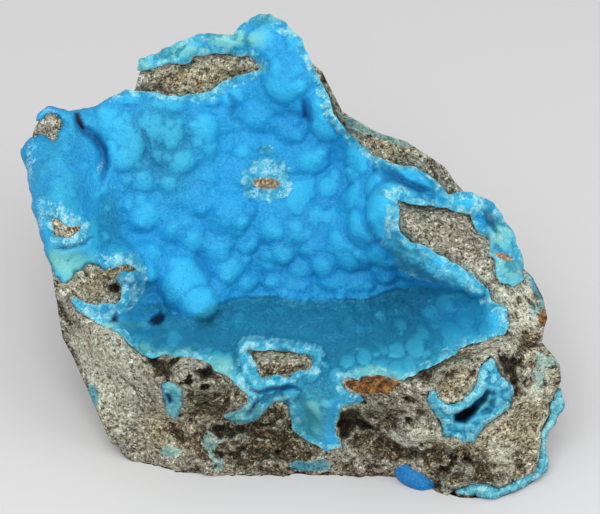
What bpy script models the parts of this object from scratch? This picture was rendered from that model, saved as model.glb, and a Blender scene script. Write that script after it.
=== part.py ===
"""A hemimorphite specimen: a lump of granular matrix with an open vug, lined with a blue botryoidal crust.

The specimen is shaped on its showing face, a plane that leans back. Points on it are written in
millimetres as (p, q, h): p to the right, q up the face and h straight out of it. An empty holds the
face's tilt and place, and every piece is parented to it.
"""

import itertools
import math

import bmesh
import bpy
import numpy as np
from mathutils import Vector

# Driving sizes, in millimetres
MM = 0.001
FACE_LEAN = math.radians(53.0)
FACE_MIDDLE = np.array((2.05, 1.26, 30.0))
CRUST = 2.6
GAP = 0.3
LOBE_SINK = 0.52
MOST_STEEPNESS = 2.2
FINE_CELL = 2.1
COARSE_CELL = 4.5
SHEET_LOW = (-60.0, -52.0)
SHEET_HIGH = (56.0, 54.0)
BLOCK_FLOOR = -55.0
GROUND_BLOCK = 200.0
SMALL_VUG_DEPTH = 7.0
SMALL_VUG_FLOOR = 17.0
WINDOW_DEPTH = 5.0
EDGE_DEPTH = 7.0
PRISM_LOW = -52.0
PRISM_HIGH = 48.0
REST_CLEARANCE = 0.4

# The shape of the showing face, as heights at chosen places, in face millimetres
WALL_FOOT = [(-42, -29, 4), (-37, -36, 5), (-31, -40, 5), (-22, -42, 8), (-8, -42, 8), (6, -42, 8),
             (19, -41, 11), (29, -46, 12), (37, -47, 14), (47, -43, 10), (48, -36, 11)]
WALL_MIDDLE = [(-45, -19, 4), (-37, -24, 9), (-29, -30, 10), (-20, -32, 12), (-8, -34, 12), (4, -34, 11),
               (16, -32, 14), (25, -33, 18), (37, -33, 18), (47, -28, 15)]
FRONT_RIM = [(-47, -8, 11), (-40, -10, 10), (-34, -15, 15), (-28, -19, 16), (-22, -18, 16), (-16, -20, 17),
             (-11, -25, 18), (-3, -26, 17), (8, -24, 20), (14, -23, 22), (20, -21, 22), (27, -19, 21),
             (35, -16, 18), (40, -13, 16), (49, -12, 10), (50, -21, 18)]
FLOOR = [(-32, -14, 3), (-20, -16, 0), (-8, -15, -4), (4, -15, -4), (16, -15, -2), (28, -13, -2),
         (34, -11, 1), (10, -19, 9), (22, -17, 9), (-16, -18, 8), (30, -15, 10)]
FLOOR_BACK = [(-34, -9, -2), (-17, -9, -12), (-8, -8, -16), (4, -8, -16), (16, -8, -15), (23, -7, -13),
              (34, -9, 1)]
BACK_WALL = [(-36, 15, -1), (-36, 3, -3), (-26, 7, -7), (-26, -3, -10), (-14, 1, -12), (-14, 16, -9),
             (0, 1, -14), (0, 14, -12), (0, 26, -8), (-14, 28, -7), (-30, 25, -1), (11, 1, -10),
             (11, 12, -10), (8, 22, -9), (15, 3, -6), (23, -3, -8)]
TOP_RIM = [(-42, 29, 0), (-36, 31, 0), (-31, 39, 0), (-20, 37, -2), (-20, 43, -2), (-11, 36, -4),
           (-6, 48, 0), (-2, 37, 0), (4, 36, 0), (9, 27, 0), (15, 25, 0), (21, 23, 3), (28, 18, 5),
           (33, 13, 6)]
LEFT_LEDGE = [(-54, 23, 4), (-50, 29, 2), (-54, 17, 5), (-47, 19, 8), (-43, 21, 3), (-52, 8, 9),
              (-46, 11, 11), (-42, 10, 5), (-49, 0, 9), (-44, 3, 12), (-39, 3, 4), (-44, -1, 9),
              (-35, -2, 4)]
RIGHT_END = [(36, -1, 10), (44, -1, 5), (41, 6, 3), (32, -5, 9), (39, -7, 12), (47, -7, 5), (45, -15, 15)]
RIGHT_RIDGE = [(20, 10, 8), (17, 7, 9), (27, 4, 10), (37, 1, 8), (17, 12, 5), (24, 0, 10), (33, -4, 9)]
RIGHT_GROOVE = [(21, 15, 0), (17, 19, -1), (25, 13, 1), (38, 7, 2)]
FACE_HEIGHTS = (WALL_FOOT + WALL_MIDDLE + FRONT_RIM + FLOOR + FLOOR_BACK + BACK_WALL + TOP_RIM
                + LEFT_LEDGE + RIGHT_END + RIGHT_RIDGE + RIGHT_GROOVE)
NORMAL_STEP = 0.05
HEIGHT_EASE = 0.6

# Outlines on the face, in face millimetres, clockwise from the peak
ROCK_OUTLINE = [(-6, 48), (-3, 46), (-1, 43.5), (1, 40), (4.5, 37), (6.5, 33), (8.5, 29), (11, 27.5),
                (15.5, 25), (21, 23), (25, 20.5), (28.5, 18), (30.5, 15), (33, 12.5), (37.5, 10),
                (39.5, 7.5), (42, 4), (43.5, -1.5), (46, -4), (48, -8), (48.5, -12), (46.5, -16),
                (50, -20.5), (50.5, -24), (49.5, -27), (50, -31), (47.5, -35.5), (47.5, -42),
                (41.5, -44.5), (36.5, -46), (28.5, -46.5), (22.5, -45), (18, -41.5), (12, -42.5),
                (-2, -42), (-20, -42.5), (-25.5, -40), (-33, -39), (-37.5, -36.5), (-40, -31),
                (-42.5, -25.5), (-47, -16), (-48, -7), (-49.5, 0), (-51.5, 8.5), (-54, 20),
                (-53, 25), (-51, 29.5), (-47, 28.5), (-42.5, 29), (-33, 33.5), (-31.5, 39),
                (-23.5, 42), (-17.5, 44), (-13.5, 43.5), (-9, 47)]
CRUST_OUTLINE = [(-5.5, 48.7), (-2.5, 46.8), (-0.5, 44.2), (2, 40), (4.5, 34.5), (7, 29), (9.5, 25),
                 (12, 23), (15, 20.5), (19, 18.5), (23.5, 18), (26.5, 15.5), (29.5, 12.5), (33.5, 13),
                 (38.5, 11), (40.7, 7.7), (43, 4), (44.5, -1), (44, -4.5), (39.5, -6.5), (36.5, -8),
                 (35.5, -11), (39.5, -14.5), (36.5, -16), (31, -18), (27, -20), (22.5, -21.5),
                 (20, -23), (15.5, -23), (8, -22.5), (7.5, -30), (7, -33.5), (8.5, -37.5), (5.5, -38),
                 (0.5, -36), (-1, -35), (-1, -31.5), (-3.5, -27), (-9.5, -26), (-12.5, -23.5),
                 (-16.5, -20.5), (-20.5, -18.5), (-24, -17.5), (-30.5, -19), (-35, -15), (-39, -13.5),
                 (-44.5, -13), (-47.7, -9.5), (-48.7, -4.5), (-50.2, 0), (-52.6, 8.5), (-54.5, 17.5),
                 (-55.6, 21.5), (-54, 25), (-52.5, 29.3), (-50, 31), (-47.5, 29.5), (-42.5, 30),
                 (-37, 32.5), (-33.6, 34), (-32.5, 37), (-32, 40), (-28.5, 41.2), (-20.5, 44.6),
                 (-17.5, 45.2), (-13.5, 44.6), (-12.3, 46.6), (-8, 48.7)]
TOP_PATCH = [(-31.5, 37), (-27.5, 38.5), (-23, 38.5), (-21.5, 40.5), (-18.5, 41), (-10, 40.5),
             (-7.5, 38), (-11, 36.5), (-15, 36), (-19, 33), (-24, 32), (-29, 33), (-33, 33), (-32, 35.5)]
RIGHT_PATCH = [(19, 11), (25.5, 10), (33.5, 8.5), (35, 5.5), (37, 4), (37.5, 0.5), (34, -2.5),
               (28, 0), (25, 1.5), (21.5, 3), (19.5, 5)]
LEDGE_PATCH = [(-51, 28), (-48.5, 28.2), (-47.5, 26.5), (-48, 23.5), (-49.5, 23), (-51.5, 25)]
SMALL_PATCH = [(-48.5, 7.5), (-45, 6), (-43, 5.5), (-45.5, 3.5), (-48, 4)]
LEFT_PATCH = [(-45, -2), (-38.5, -2), (-36, -3), (-37, -6.5), (-39.5, -9), (-42.5, -10), (-45, -7.5)]
COLUMN_PATCH = [(-10.5, -18), (-5, -18.5), (2.5, -19.5), (2.5, -21), (-2, -23), (-7.5, -23.5), (-9, -21)]
ISLANDS = {"top": TOP_PATCH, "right": RIGHT_PATCH, "ledge": LEDGE_PATCH, "small": SMALL_PATCH,
           "left": LEFT_PATCH, "column": COLUMN_PATCH}
SMALL_VUG = [(36.5, -17.5), (38.5, -22.5), (41, -25), (40.5, -29), (36, -32), (33.5, -36), (30, -35),
             (27.5, -35), (27, -31.5), (24, -27), (24.5, -25.5), (26, -26), (28, -28), (31, -27.5),
             (33, -25.5), (34.5, -22.5), (35.5, -20)]
SMALL_VUG_SLOT = [(35.5, -24.8), (35, -26), (33, -28.8), (29.5, -30.5), (30.5, -32), (33, -31.7),
                  (37.5, -29), (38.3, -27), (37, -25.3)]
WINDOW = [(-27, -24.5), (-24.5, -24), (-22.5, -25.5), (-22.5, -28.5), (-24.5, -32), (-26, -31)]
EDGE_CRUST = [(48, -27.5), (51.3, -26.5), (51.5, -29), (50.4, -31.5), (48.6, -34), (48.4, -36.5),
              (49.2, -39.5), (48.2, -43.8), (41.5, -46), (36.5, -47.5), (30.5, -47.2), (31, -44),
              (37, -44.2), (44.8, -41.5), (46, -39), (45.8, -35), (47, -31)]

# Round lobes of the crust, in face millimetres: place on the face, then radius
WALL_LOBES = [(-3, 35.5, 4.8), (-8.5, 29, 4.1), (-1.5, 28, 3), (0, 22.5, 4.5), (6.5, 20, 3.7),
              (-14.5, 10, 4.7), (-32, 9.5, 3.4), (-35, 20.5, 4), (-35, 24.5, 4), (-22, 3.5, 4.1),
              (-19, 2.5, 3.7), (-15, -2.5, 4.5), (-25.5, -4.5, 5.7), (-21, -9, 3.7), (4.5, 9, 4.1),
              (7.5, 16, 3.7), (11.5, 8.5, 3.6), (16.5, 5, 2.8), (5, -1.5, 4.1), (-28.5, 8.5, 3.2),
              (-21, 11.5, 4.1), (-24.5, 19.5, 4.4), (-19, 25.5, 4.4), (-26, 26.5, 3.6), (-8.5, 6.5, 4.1),
              (-4, 2.5, 4.1), (-1, 8.5, 3.7), (12.5, -1.5, 3.3), (-11, 20, 3.3), (-27.5, 14.5, 3.2),
              (-14, 32.5, 3.2), (1, 16, 3.3), (10, 3.5, 3.3), (-2, -6, 3.3)]
FLOOR_LOBES = [(21, -13.5, 1.8), (29.5, -10, 2.2), (33.5, -7.5, 1.8), (31, -12.5, 2), (35, -12, 1.8),
               (6, -15, 2), (-19.5, -15.5, 2.4), (-9.5, -12.5, 2.4), (27.5, -15, 2), (-31, -15, 2),
               (-31.5, -10.5, 2.4), (-11.5, -10, 2.5), (16.5, -18, 2)]
LEDGE_LOBES = [(-43.5, 19, 2.8), (-47, 15, 2.7), (-44, 10, 2.8), (-42, 24.5, 2.4), (-50, 20, 3)]

# Hollows of the rock: name, place on the face, half-sizes along p, q and h, turn in the face
ROCK_HOLLOWS = [("brown_hollow", (-27, -21.5), (3.3, 1.9, 4.0), -10),
                ("dark_hollow", (-18.5, -22), (2.9, 1.6, 5.0), -20),
                ("low_hollow", (-16.5, -32.5), (1.7, 1.2, 3.0), 0),
                ("channel_hollow", (9.4, -30.5), (1.9, 1.5, 4.0), 0),
                ("right_hollow", (38.9, -20.8), (2.4, 3.9, 5.0), 15),
                ("crater", (23.5, -29), (1.6, 1.2, 2.6), 10),
                ("middle_hollow", (-6.5, -30.5), (3.4, 1.7, 3.5), 0)]
ROUND_LUMP = ((22, -31.5, 9.5), (5.4, 6.2, 9.5))
WINDOW_HOLLOW = ((-25.2, -27.5), (1.5, 2.2, 4.5))
BALL_LUMPS = [((22.0, -42.2, 8.4), (3.9, 2.8, 3.6)), ((25.0, -43.4, 8.6), (3.2, 2.6, 3.4))]

# The rest outline and sides, in the table's millimetres round the face's middle
REST_OUTLINE = [(46, -33), (48, -22), (46, -8), (42, 8), (34, 22), (20, 32), (4, 36), (-12, 36),
                (-26, 30), (-36, 17), (-40, 3), (-40, -10), (-37, -20), (-31, -27.5), (-22, -31),
                (-6, -31.5), (8, -31.5), (17, -32.5), (24, -35.5), (29, -38), (37, -38.5), (42, -37)]
REST_DEPTH = 3.0
TALL_SIDE = 60.0
BACK_BULGE = 7.0
SIDE_BULGE = 2.5
ROCK_COLUMNS = 72
FRONT_ROWS = 12
SIDE_ROWS = 8
WALL_ROUGHNESS = 1.1
SIDE_ROUGHNESS = 2.2
CELL_ROUGH = 5.0
FACE_SEED = 3
BROAD_SEED = 5
ROUGH_SEED = 7
CELL_BROAD = 14.0
MIDDLE_OF_FACE = (-1.0, -4.0)

# Flat breaks on the sides and back: the way each faces (turn from +X, tilt up) and its distance from the
# face's middle, in degrees and millimetres
BREAKS = [((88, 6), 36.0), ((55, 2), 34.5), ((122, -4), 38.0), ((28, 18), 38.5), ((150, 22), 38.0),
          ((176, -16), 43.0), ((100, 42), 47.0), ((2, -2), 46.0), ((64, -32), 38.0), ((140, -35), 41.0),
          ((70, 40), 43.0), ((105, -12), 37.0)]
BREAK_ONSET = 3.0

# Finishes: colour, roughness
ROCK_FINISH = ((0.30, 0.26, 0.20), 0.9)
BLUE_FINISH = ((0.02, 0.28, 0.72), 0.45)
TEAL_FINISH = ((0.06, 0.36, 0.48), 0.5)


def clear_scene():
    for item in list(bpy.data.objects):
        bpy.data.objects.remove(item, do_unlink=True)


def finish(name, colour, roughness):
    material = bpy.data.materials.new(name)
    material.use_nodes = True
    shader = material.node_tree.nodes["Principled BSDF"]
    shader.inputs["Base Color"].default_value = (*colour, 1.0)
    shader.inputs["Roughness"].default_value = roughness
    shader.inputs["Metallic"].default_value = 0.0
    return material


def face_empty():
    """The empty that holds the showing face's lean and place."""
    face = bpy.data.objects.new("showing_face", None)
    face.location = Vector(FACE_MIDDLE) * MM
    face.rotation_euler = (FACE_LEAN, 0.0, 0.0)
    bpy.context.scene.collection.objects.link(face)
    return face


def table_to_face(points):
    """Table millimetres round the face's middle, turned into (p, q, h)."""
    x, y, z = np.moveaxis(np.asarray(points, float), -1, 0)
    up, out = math.sin(FACE_LEAN), math.cos(FACE_LEAN)
    return np.stack([x, y * out + z * up, z * out - y * up], -1)


def face_to_table(points):
    p, q, h = np.moveaxis(np.asarray(points, float), -1, 0)
    up, out = math.sin(FACE_LEAN), math.cos(FACE_LEAN)
    return np.stack([p, q * out - h * up, q * up + h * out], -1)


class FaceRelief:
    """A thin plate bent through the chosen heights, which gives the face's height and normal anywhere."""

    def __init__(self, heights):
        table = np.array(heights, float)
        self.places = table[:, :2]
        count = len(table)
        bend = self.bending(self.places) + HEIGHT_EASE * np.eye(count)
        flat = np.column_stack([np.ones(count), self.places])
        system = np.block([[bend, flat], [flat.T, np.zeros((3, 3))]])
        self.weights = np.linalg.solve(system, np.append(table[:, 2], np.zeros(3)))

    def bending(self, points):
        squares = ((points[:, None, :] - self.places[None]) ** 2).sum(-1)
        return 0.5 * squares * np.log(np.maximum(squares, 1e-9))

    def height(self, points):
        flat = np.column_stack([np.ones(len(points)), points])
        return self.bending(points) @ self.weights[:-3] + flat @ self.weights[-3:]

    def normal(self, points):
        step = NORMAL_STEP
        along_p = (self.height(points + (step, 0)) - self.height(points - (step, 0))) / (2 * step)
        along_q = (self.height(points + (0, step)) - self.height(points - (0, step))) / (2 * step)
        normal = np.stack([-along_p, -along_q, np.ones(len(points))], -1)
        return normal / np.linalg.norm(normal, axis=1, keepdims=True)


def lattice_noise(points, cell, seed):
    """Smooth noise from -1 to 1: whole-number corners get fixed values, which are blended across a cell."""
    scaled = np.asarray(points, float) / cell
    corner = np.floor(scaled).astype(np.int64)
    blend = scaled - corner
    blend = blend * blend * (3 - 2 * blend)
    total = np.zeros(len(scaled))
    for offset in itertools.product((0, 1), repeat=3):
        x, y, z = np.moveaxis(corner + offset, -1, 0)
        key = (x * 73856093 ^ y * 19349663 ^ z * 83492791 ^ seed * 2654435761) & 0xFFFFFFFF
        key = (key ^ (key >> 15)) * 2246822519 & 0xFFFFFFFF
        key = (key ^ (key >> 13)) * 3266489917 & 0xFFFFFFFF
        value = (key >> 8) / float(1 << 23) - 1
        weight = np.where(offset, blend, 1 - blend).prod(-1)
        total += value * weight
    return total


def steepness(points):
    """How much longer a depth gets when it is measured along h instead of square to the surface."""
    return np.minimum(1 / RELIEF.normal(points)[:, 2], MOST_STEEPNESS)


def below_face(depth):
    """The height of a sheet that lies the given depth under the face."""
    def height(points):
        return RELIEF.height(points) - depth * steepness(points)
    return height


def crust_top(points):
    """The crust's free surface: the face, or a round lobe where one stands higher, as a ball sunk in it."""
    lobes = np.array(WALL_LOBES + FLOOR_LOBES + LEDGE_LOBES, float)
    places, radius = lobes[:, :2], lobes[:, 2]
    centres = np.column_stack([places, RELIEF.height(places)])
    centres -= RELIEF.normal(places) * (radius * LOBE_SINK)[:, None]
    offset = ((points[:, None] - centres[None, :, :2]) ** 2).sum(-1)
    over = np.sqrt(np.maximum(radius ** 2 - offset, 0))
    lobe_height = np.where(offset < radius ** 2, centres[:, 2] + over, -np.inf)
    return np.maximum(RELIEF.height(points), lobe_height.max(axis=1))


def add_object(name, mesh_data, face, material=None):
    mesh = bpy.data.meshes.new(name)
    mesh_data.to_mesh(mesh)
    mesh_data.free()
    piece = bpy.data.objects.new(name, mesh)
    bpy.context.scene.collection.objects.link(piece)
    piece.parent = face
    if material:
        mesh.materials.append(material)
    else:
        piece.hide_render = True
        piece.display_type = "WIRE"
    return piece


def block_under(name, height_at, cell, face, material=None):
    """A closed block whose top follows a height over the face, and whose floor is flat and far below."""
    low, high = np.array(SHEET_LOW), np.array(SHEET_HIGH)
    steps = np.ceil((high - low) / cell).astype(int)
    data = bmesh.new()
    bmesh.ops.create_grid(data, x_segments=int(steps[0]), y_segments=int(steps[1]), size=0.5)
    unit = np.array([vertex.co[:2] for vertex in data.verts])
    points = low + (unit + 0.5) * (high - low)
    for vertex, place in zip(data.verts, np.column_stack([points, height_at(points)])):
        vertex.co = Vector(place) * MM
    bmesh.ops.triangulate(data, faces=data.faces, quad_method="FIXED")
    edges = [edge for edge in data.edges if edge.is_boundary]
    lowered = bmesh.ops.extrude_edge_only(data, edges=edges)["geom"]
    for vertex in lowered:
        if isinstance(vertex, bmesh.types.BMVert):
            vertex.co.z = BLOCK_FLOOR * MM
    bmesh.ops.holes_fill(data, edges=[edge for edge in data.edges if edge.is_boundary])
    bmesh.ops.recalc_face_normals(data, faces=data.faces)
    return add_object(name, data, face, material)


def grown(outline, distance):
    """The outline moved outwards by a distance, corner by corner."""
    ring = np.array(outline, float)
    before, after = ring - np.roll(ring, 1, 0), np.roll(ring, -1, 0) - ring
    before /= np.linalg.norm(before, axis=1, keepdims=True)
    after /= np.linalg.norm(after, axis=1, keepdims=True)
    along = before + after
    along /= np.linalg.norm(along, axis=1, keepdims=True)
    area = (ring[:, 0] * np.roll(ring[:, 1], -1) - ring[:, 1] * np.roll(ring[:, 0], -1)).sum()
    outward = np.column_stack([along[:, 1], -along[:, 0]]) * np.sign(area)
    return ring + outward * distance


def prism(name, outline, face, low=PRISM_LOW, high=PRISM_HIGH):
    """A straight-sided cutter: an outline on the face, carried along h."""
    data = bmesh.new()
    ring = [data.verts.new(Vector((p, q, low)) * MM) for p, q in outline]
    bottom = data.faces.new(ring)
    lifted = bmesh.ops.extrude_face_region(data, geom=[bottom])["geom"]
    top = [item for item in lifted if isinstance(item, bmesh.types.BMVert)]
    bmesh.ops.translate(data, verts=top, vec=Vector((0, 0, high - low)) * MM)
    bmesh.ops.recalc_face_normals(data, faces=data.faces)
    return add_object(name, data, face)


def egg(name, centre, half_sizes, face, turn=0.0, detail=2, material=None):
    """A rounded lump or hollow: a small icosphere stretched to three half-sizes."""
    data = bmesh.new()
    bmesh.ops.create_icosphere(data, subdivisions=detail, radius=MM)
    for vertex in data.verts:
        vertex.co.x *= half_sizes[0]
        vertex.co.y *= half_sizes[1]
        vertex.co.z *= half_sizes[2]
    piece = add_object(name, data, face, material)
    piece.location = Vector(centre) * MM
    piece.rotation_euler = (0.0, 0.0, math.radians(turn))
    return piece


def boolean(piece, operation, other):
    modifier = piece.modifiers.new(f"{operation.lower()} {other.name}", "BOOLEAN")
    modifier.operation = operation
    modifier.solver = "EXACT"
    modifier.object = other


def ring_at(angles, outline, middle):
    """Where rays from the middle, one for each angle, meet an outline."""
    ring = np.array(outline, float) - middle
    bearing = np.unwrap(np.arctan2(ring[:, 1], ring[:, 0]))
    order = np.argsort(bearing)
    bearing, ring = bearing[order], ring[order]
    turn = 2 * math.pi
    bearing = np.concatenate([bearing - turn, bearing, bearing + turn])
    ring = np.tile(ring, (3, 1))
    wanted = (angles - bearing[len(bearing) // 3]) % turn + bearing[len(bearing) // 3]
    return np.column_stack([np.interp(wanted, bearing, ring[:, 0]),
                            np.interp(wanted, bearing, ring[:, 1])]) + middle


def rock_front(angles):
    """Rings of the face, from near its middle out to the rock's outline, slightly rough where it is bare."""
    edge = ring_at(angles, ROCK_OUTLINE, np.array(MIDDLE_OF_FACE))
    shares = np.linspace(0, 1, FRONT_ROWS + 1)[1:]
    rows = []
    for share in shares:
        points = MIDDLE_OF_FACE + (edge - MIDDLE_OF_FACE) * share
        height = RELIEF.height(points)
        rough = lattice_noise(np.column_stack([points, height]), CELL_ROUGH, FACE_SEED)
        height = height + WALL_ROUGHNESS * rough
        rows.append(np.column_stack([points, height]))
    return rows


def broken_off(points, share):
    """Points beyond a flat break are pressed back onto it, fully once they are well past the face's edge."""
    onset = min(1.0, BREAK_ONSET * share)
    for (turn, tilt), distance in BREAKS:
        turn, tilt = math.radians(turn), math.radians(tilt)
        facing = np.array((math.cos(turn) * math.cos(tilt), math.sin(turn) * math.cos(tilt), math.sin(tilt)))
        excess = np.maximum(points @ facing - distance, 0)
        points = points - onset * excess[:, None] * facing
    return points


def rock_sides(angles, rim):
    """Rings from the face's edge to just below the rest plane: each column is a bowed, roughened line."""
    top = face_to_table(rim)
    foot = ring_at(angles, REST_OUTLINE, np.zeros(2))
    foot = np.column_stack([foot, np.full(len(foot), -FACE_MIDDLE[2] - REST_DEPTH)])
    outward = np.column_stack([np.cos(angles), np.sin(angles), np.zeros(len(angles))])
    back = np.clip(np.sin(angles), 0, 1)
    bulge = SIDE_BULGE + (BACK_BULGE - SIDE_BULGE) * back
    tall = np.clip((top[:, 2] - foot[:, 2]) / TALL_SIDE, 0.05, 1)
    knee = (top + foot) / 2 + outward * (2 * bulge * tall)[:, None]
    rows = []
    for share in np.linspace(0, 1, SIDE_ROWS + 1)[1:]:
        bowed = (1 - share) ** 2 * top + 2 * share * (1 - share) * knee + share ** 2 * foot
        line = broken_off(bowed, share)
        fade = 4 * share * (1 - share) * tall
        broad = lattice_noise(line, CELL_BROAD, BROAD_SEED)
        small = lattice_noise(line, CELL_ROUGH, ROUGH_SEED)
        line = line + outward * (SIDE_ROUGHNESS * fade * (broad + 0.5 * small))[:, None]
        rows.append(table_to_face(line))
    return rows


def rock_blank(face, material):
    """The whole lump before its hollows: rings down the face and the sides, cut flat at the rest plane."""
    angles = np.linspace(0, 2 * math.pi, ROCK_COLUMNS, endpoint=False)
    front = rock_front(angles)
    rows = front + rock_sides(angles, front[-1])
    data = bmesh.new()
    rings = [[data.verts.new(Vector(place) * MM) for place in row] for row in rows]
    data.faces.new(rings[0])
    data.faces.new(rings[-1][::-1])
    for inner, outer in itertools.pairwise(rings):
        for i in range(ROCK_COLUMNS):
            j = (i + 1) % ROCK_COLUMNS
            data.faces.new((inner[i], outer[i], outer[j], inner[j]))
    bmesh.ops.recalc_face_normals(data, faces=data.faces)
    bmesh.ops.triangulate(data, faces=data.faces)
    rest = Vector(table_to_face((0.0, 0.0, -FACE_MIDDLE[2]))) * MM
    upward = Vector(table_to_face((0.0, 0.0, 1.0)))
    everything = data.verts[:] + data.edges[:] + data.faces[:]
    bmesh.ops.bisect_plane(data, geom=everything, plane_co=rest, plane_no=upward, clear_inner=True)
    bmesh.ops.holes_fill(data, edges=[edge for edge in data.edges if edge.is_boundary])
    bmesh.ops.recalc_face_normals(data, faces=data.faces)
    return add_object("matrix_rock", data, face, material)


def ground_cutter(face):
    """A block that keeps the lower crusts just clear of the surface the specimen rests on."""
    data = bmesh.new()
    bmesh.ops.create_cube(data, size=GROUND_BLOCK * MM)
    ground = add_object("ground_cutter", data, face)
    middle = -FACE_MIDDLE[2] - GROUND_BLOCK / 2 + REST_CLEARANCE
    ground.location = Vector(table_to_face((0.0, 0.0, middle))) * MM
    ground.rotation_euler = (-FACE_LEAN, 0.0, 0.0)
    return ground


def vug_crust(face, rock, material):
    """The main lining, trimmed to its outline, with a hole round each island of bare rock."""
    crust = block_under("vug_crust", crust_top, FINE_CELL, face, material)
    boolean(crust, "INTERSECT", prism("crust_outline", CRUST_OUTLINE, face))
    boolean(crust, "DIFFERENCE", block_under("crust_underside", below_face(CRUST), COARSE_CELL, face))
    seat = prism("crust_seat", grown(CRUST_OUTLINE, GAP), face)
    boolean(seat, "DIFFERENCE", block_under("seat_floor", below_face(CRUST + GAP), COARSE_CELL, face))
    for name, outline in ISLANDS.items():
        boolean(crust, "DIFFERENCE", prism(f"{name}_hole", grown(outline, GAP), face))
        boolean(seat, "DIFFERENCE", prism(f"{name}_island", outline, face))
    boolean(rock, "DIFFERENCE", seat)
    return crust


def small_crust(name, outline, depth, face, rock, material):
    """A thinner pocket lining: a plug of crust let into the rock, flush with its face."""
    crust = block_under(name, below_face(-GAP), COARSE_CELL, face, material)
    boolean(crust, "INTERSECT", prism(f"{name}_outline", outline, face))
    boolean(crust, "DIFFERENCE", block_under(f"{name}_underside", below_face(depth), COARSE_CELL, face))
    seat = prism(f"{name}_seat", grown(outline, GAP), face)
    boolean(seat, "DIFFERENCE", block_under(f"{name}_floor", below_face(depth + GAP), COARSE_CELL, face))
    boolean(rock, "DIFFERENCE", seat)
    return crust


def ball_crust(face, rock, material):
    """The round blue growth under the front edge: two lumps joined, with their bed taken out of the rock."""
    lumps = [egg(f"ball_lump_{i}", centre, sizes, face) for i, (centre, sizes) in enumerate(BALL_LUMPS)]
    beds = [egg(f"ball_bed_{i}", centre, tuple(np.array(sizes) + GAP), face)
            for i, (centre, sizes) in enumerate(BALL_LUMPS)]
    for bed in beds:
        boolean(rock, "DIFFERENCE", bed)
    ball, other = lumps
    ball.name = "base_crust"
    ball.data.materials.append(material)
    ball.hide_render = False
    ball.display_type = "TEXTURED"
    boolean(ball, "UNION", other)
    return ball


def on_face(place):
    """A place on the face, with the face's height there as its third number."""
    return (*place, RELIEF.height(np.array([place], float))[0])


def small_vug(face, rock, material):
    """The small vug's lining, with its slot cut deeper."""
    pocket = small_crust("small_vug_crust", SMALL_VUG, SMALL_VUG_DEPTH, face, rock, material)
    boolean(pocket, "DIFFERENCE", prism("small_vug_slot", SMALL_VUG_SLOT, face, low=SMALL_VUG_FLOOR))


def wall_window(face, rock, material):
    """The lining of the pocket in the front wall, with its round hollow."""
    window = small_crust("window_crust", WINDOW, WINDOW_DEPTH, face, rock, material)
    place, sizes = WINDOW_HOLLOW
    boolean(window, "DIFFERENCE", egg("window_hollow", on_face(place), sizes, face))


def low_crusts(face, rock, edge_material, ball_material):
    """The crust on the right edge and the ball under the front, both kept off the ground."""
    edge = small_crust("edge_crust", EDGE_CRUST, EDGE_DEPTH, face, rock, edge_material)
    ball = ball_crust(face, rock, ball_material)
    ground = ground_cutter(face)
    for piece in (edge, ball):
        boolean(piece, "DIFFERENCE", ground)


def hollow_rock(face, rock):
    """The rock's large hollows, each an egg taken out of its face."""
    for name, place, sizes, turn in ROCK_HOLLOWS:
        boolean(rock, "DIFFERENCE", egg(name, on_face(place), sizes, face, turn))


def build_specimen():
    """The whole specimen: the rock first, then each crust let into it."""
    rock_finish = finish("granular matrix", *ROCK_FINISH)
    blue_finish = finish("blue crust", *BLUE_FINISH)
    teal_finish = finish("teal crust", *TEAL_FINISH)
    face = face_empty()
    rock = rock_blank(face, rock_finish)
    lump_centre, lump_sizes = ROUND_LUMP
    boolean(rock, "UNION", egg("round_lump", lump_centre, lump_sizes, face))
    vug_crust(face, rock, blue_finish)
    small_vug(face, rock, teal_finish)
    wall_window(face, rock, teal_finish)
    low_crusts(face, rock, teal_finish, blue_finish)
    hollow_rock(face, rock)


clear_scene()
RELIEF = FaceRelief(FACE_HEIGHTS)
build_specimen()
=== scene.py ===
"""A hemimorphite specimen dressed for the photograph: granular matrix and a blue botryoidal crust.

Shapes are worked out on the showing face in millimetres, (p, q, h): p to the right, q up the face and h
straight out of it. They are turned to the table's metres when a mesh is made.
"""

import itertools
import math

import bpy
import numpy as np
from mathutils import Matrix, Vector


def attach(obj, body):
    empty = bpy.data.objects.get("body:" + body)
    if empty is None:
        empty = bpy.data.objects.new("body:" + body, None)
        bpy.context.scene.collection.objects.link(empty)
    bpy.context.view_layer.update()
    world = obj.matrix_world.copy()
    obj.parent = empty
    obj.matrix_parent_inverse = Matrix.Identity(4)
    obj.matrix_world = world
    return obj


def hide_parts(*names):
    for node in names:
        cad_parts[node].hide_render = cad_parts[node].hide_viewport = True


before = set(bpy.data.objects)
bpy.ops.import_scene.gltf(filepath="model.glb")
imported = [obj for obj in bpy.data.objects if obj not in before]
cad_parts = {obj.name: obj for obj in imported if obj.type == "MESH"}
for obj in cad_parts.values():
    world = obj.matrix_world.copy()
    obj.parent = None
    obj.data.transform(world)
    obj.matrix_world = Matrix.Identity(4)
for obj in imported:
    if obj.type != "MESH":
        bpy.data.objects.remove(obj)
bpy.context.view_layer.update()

# Driving sizes, in millimetres
MM = 0.001
FACE_LEAN = math.radians(53.0)
FACE_MIDDLE = np.array((2.05, 1.26, 30.0))
CRUST = 2.6
LEAST_CRUST = 0.8
MOST_STEEPNESS = 2.2
HEIGHT_EASE = 0.6
NORMAL_STEP = 0.05

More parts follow.
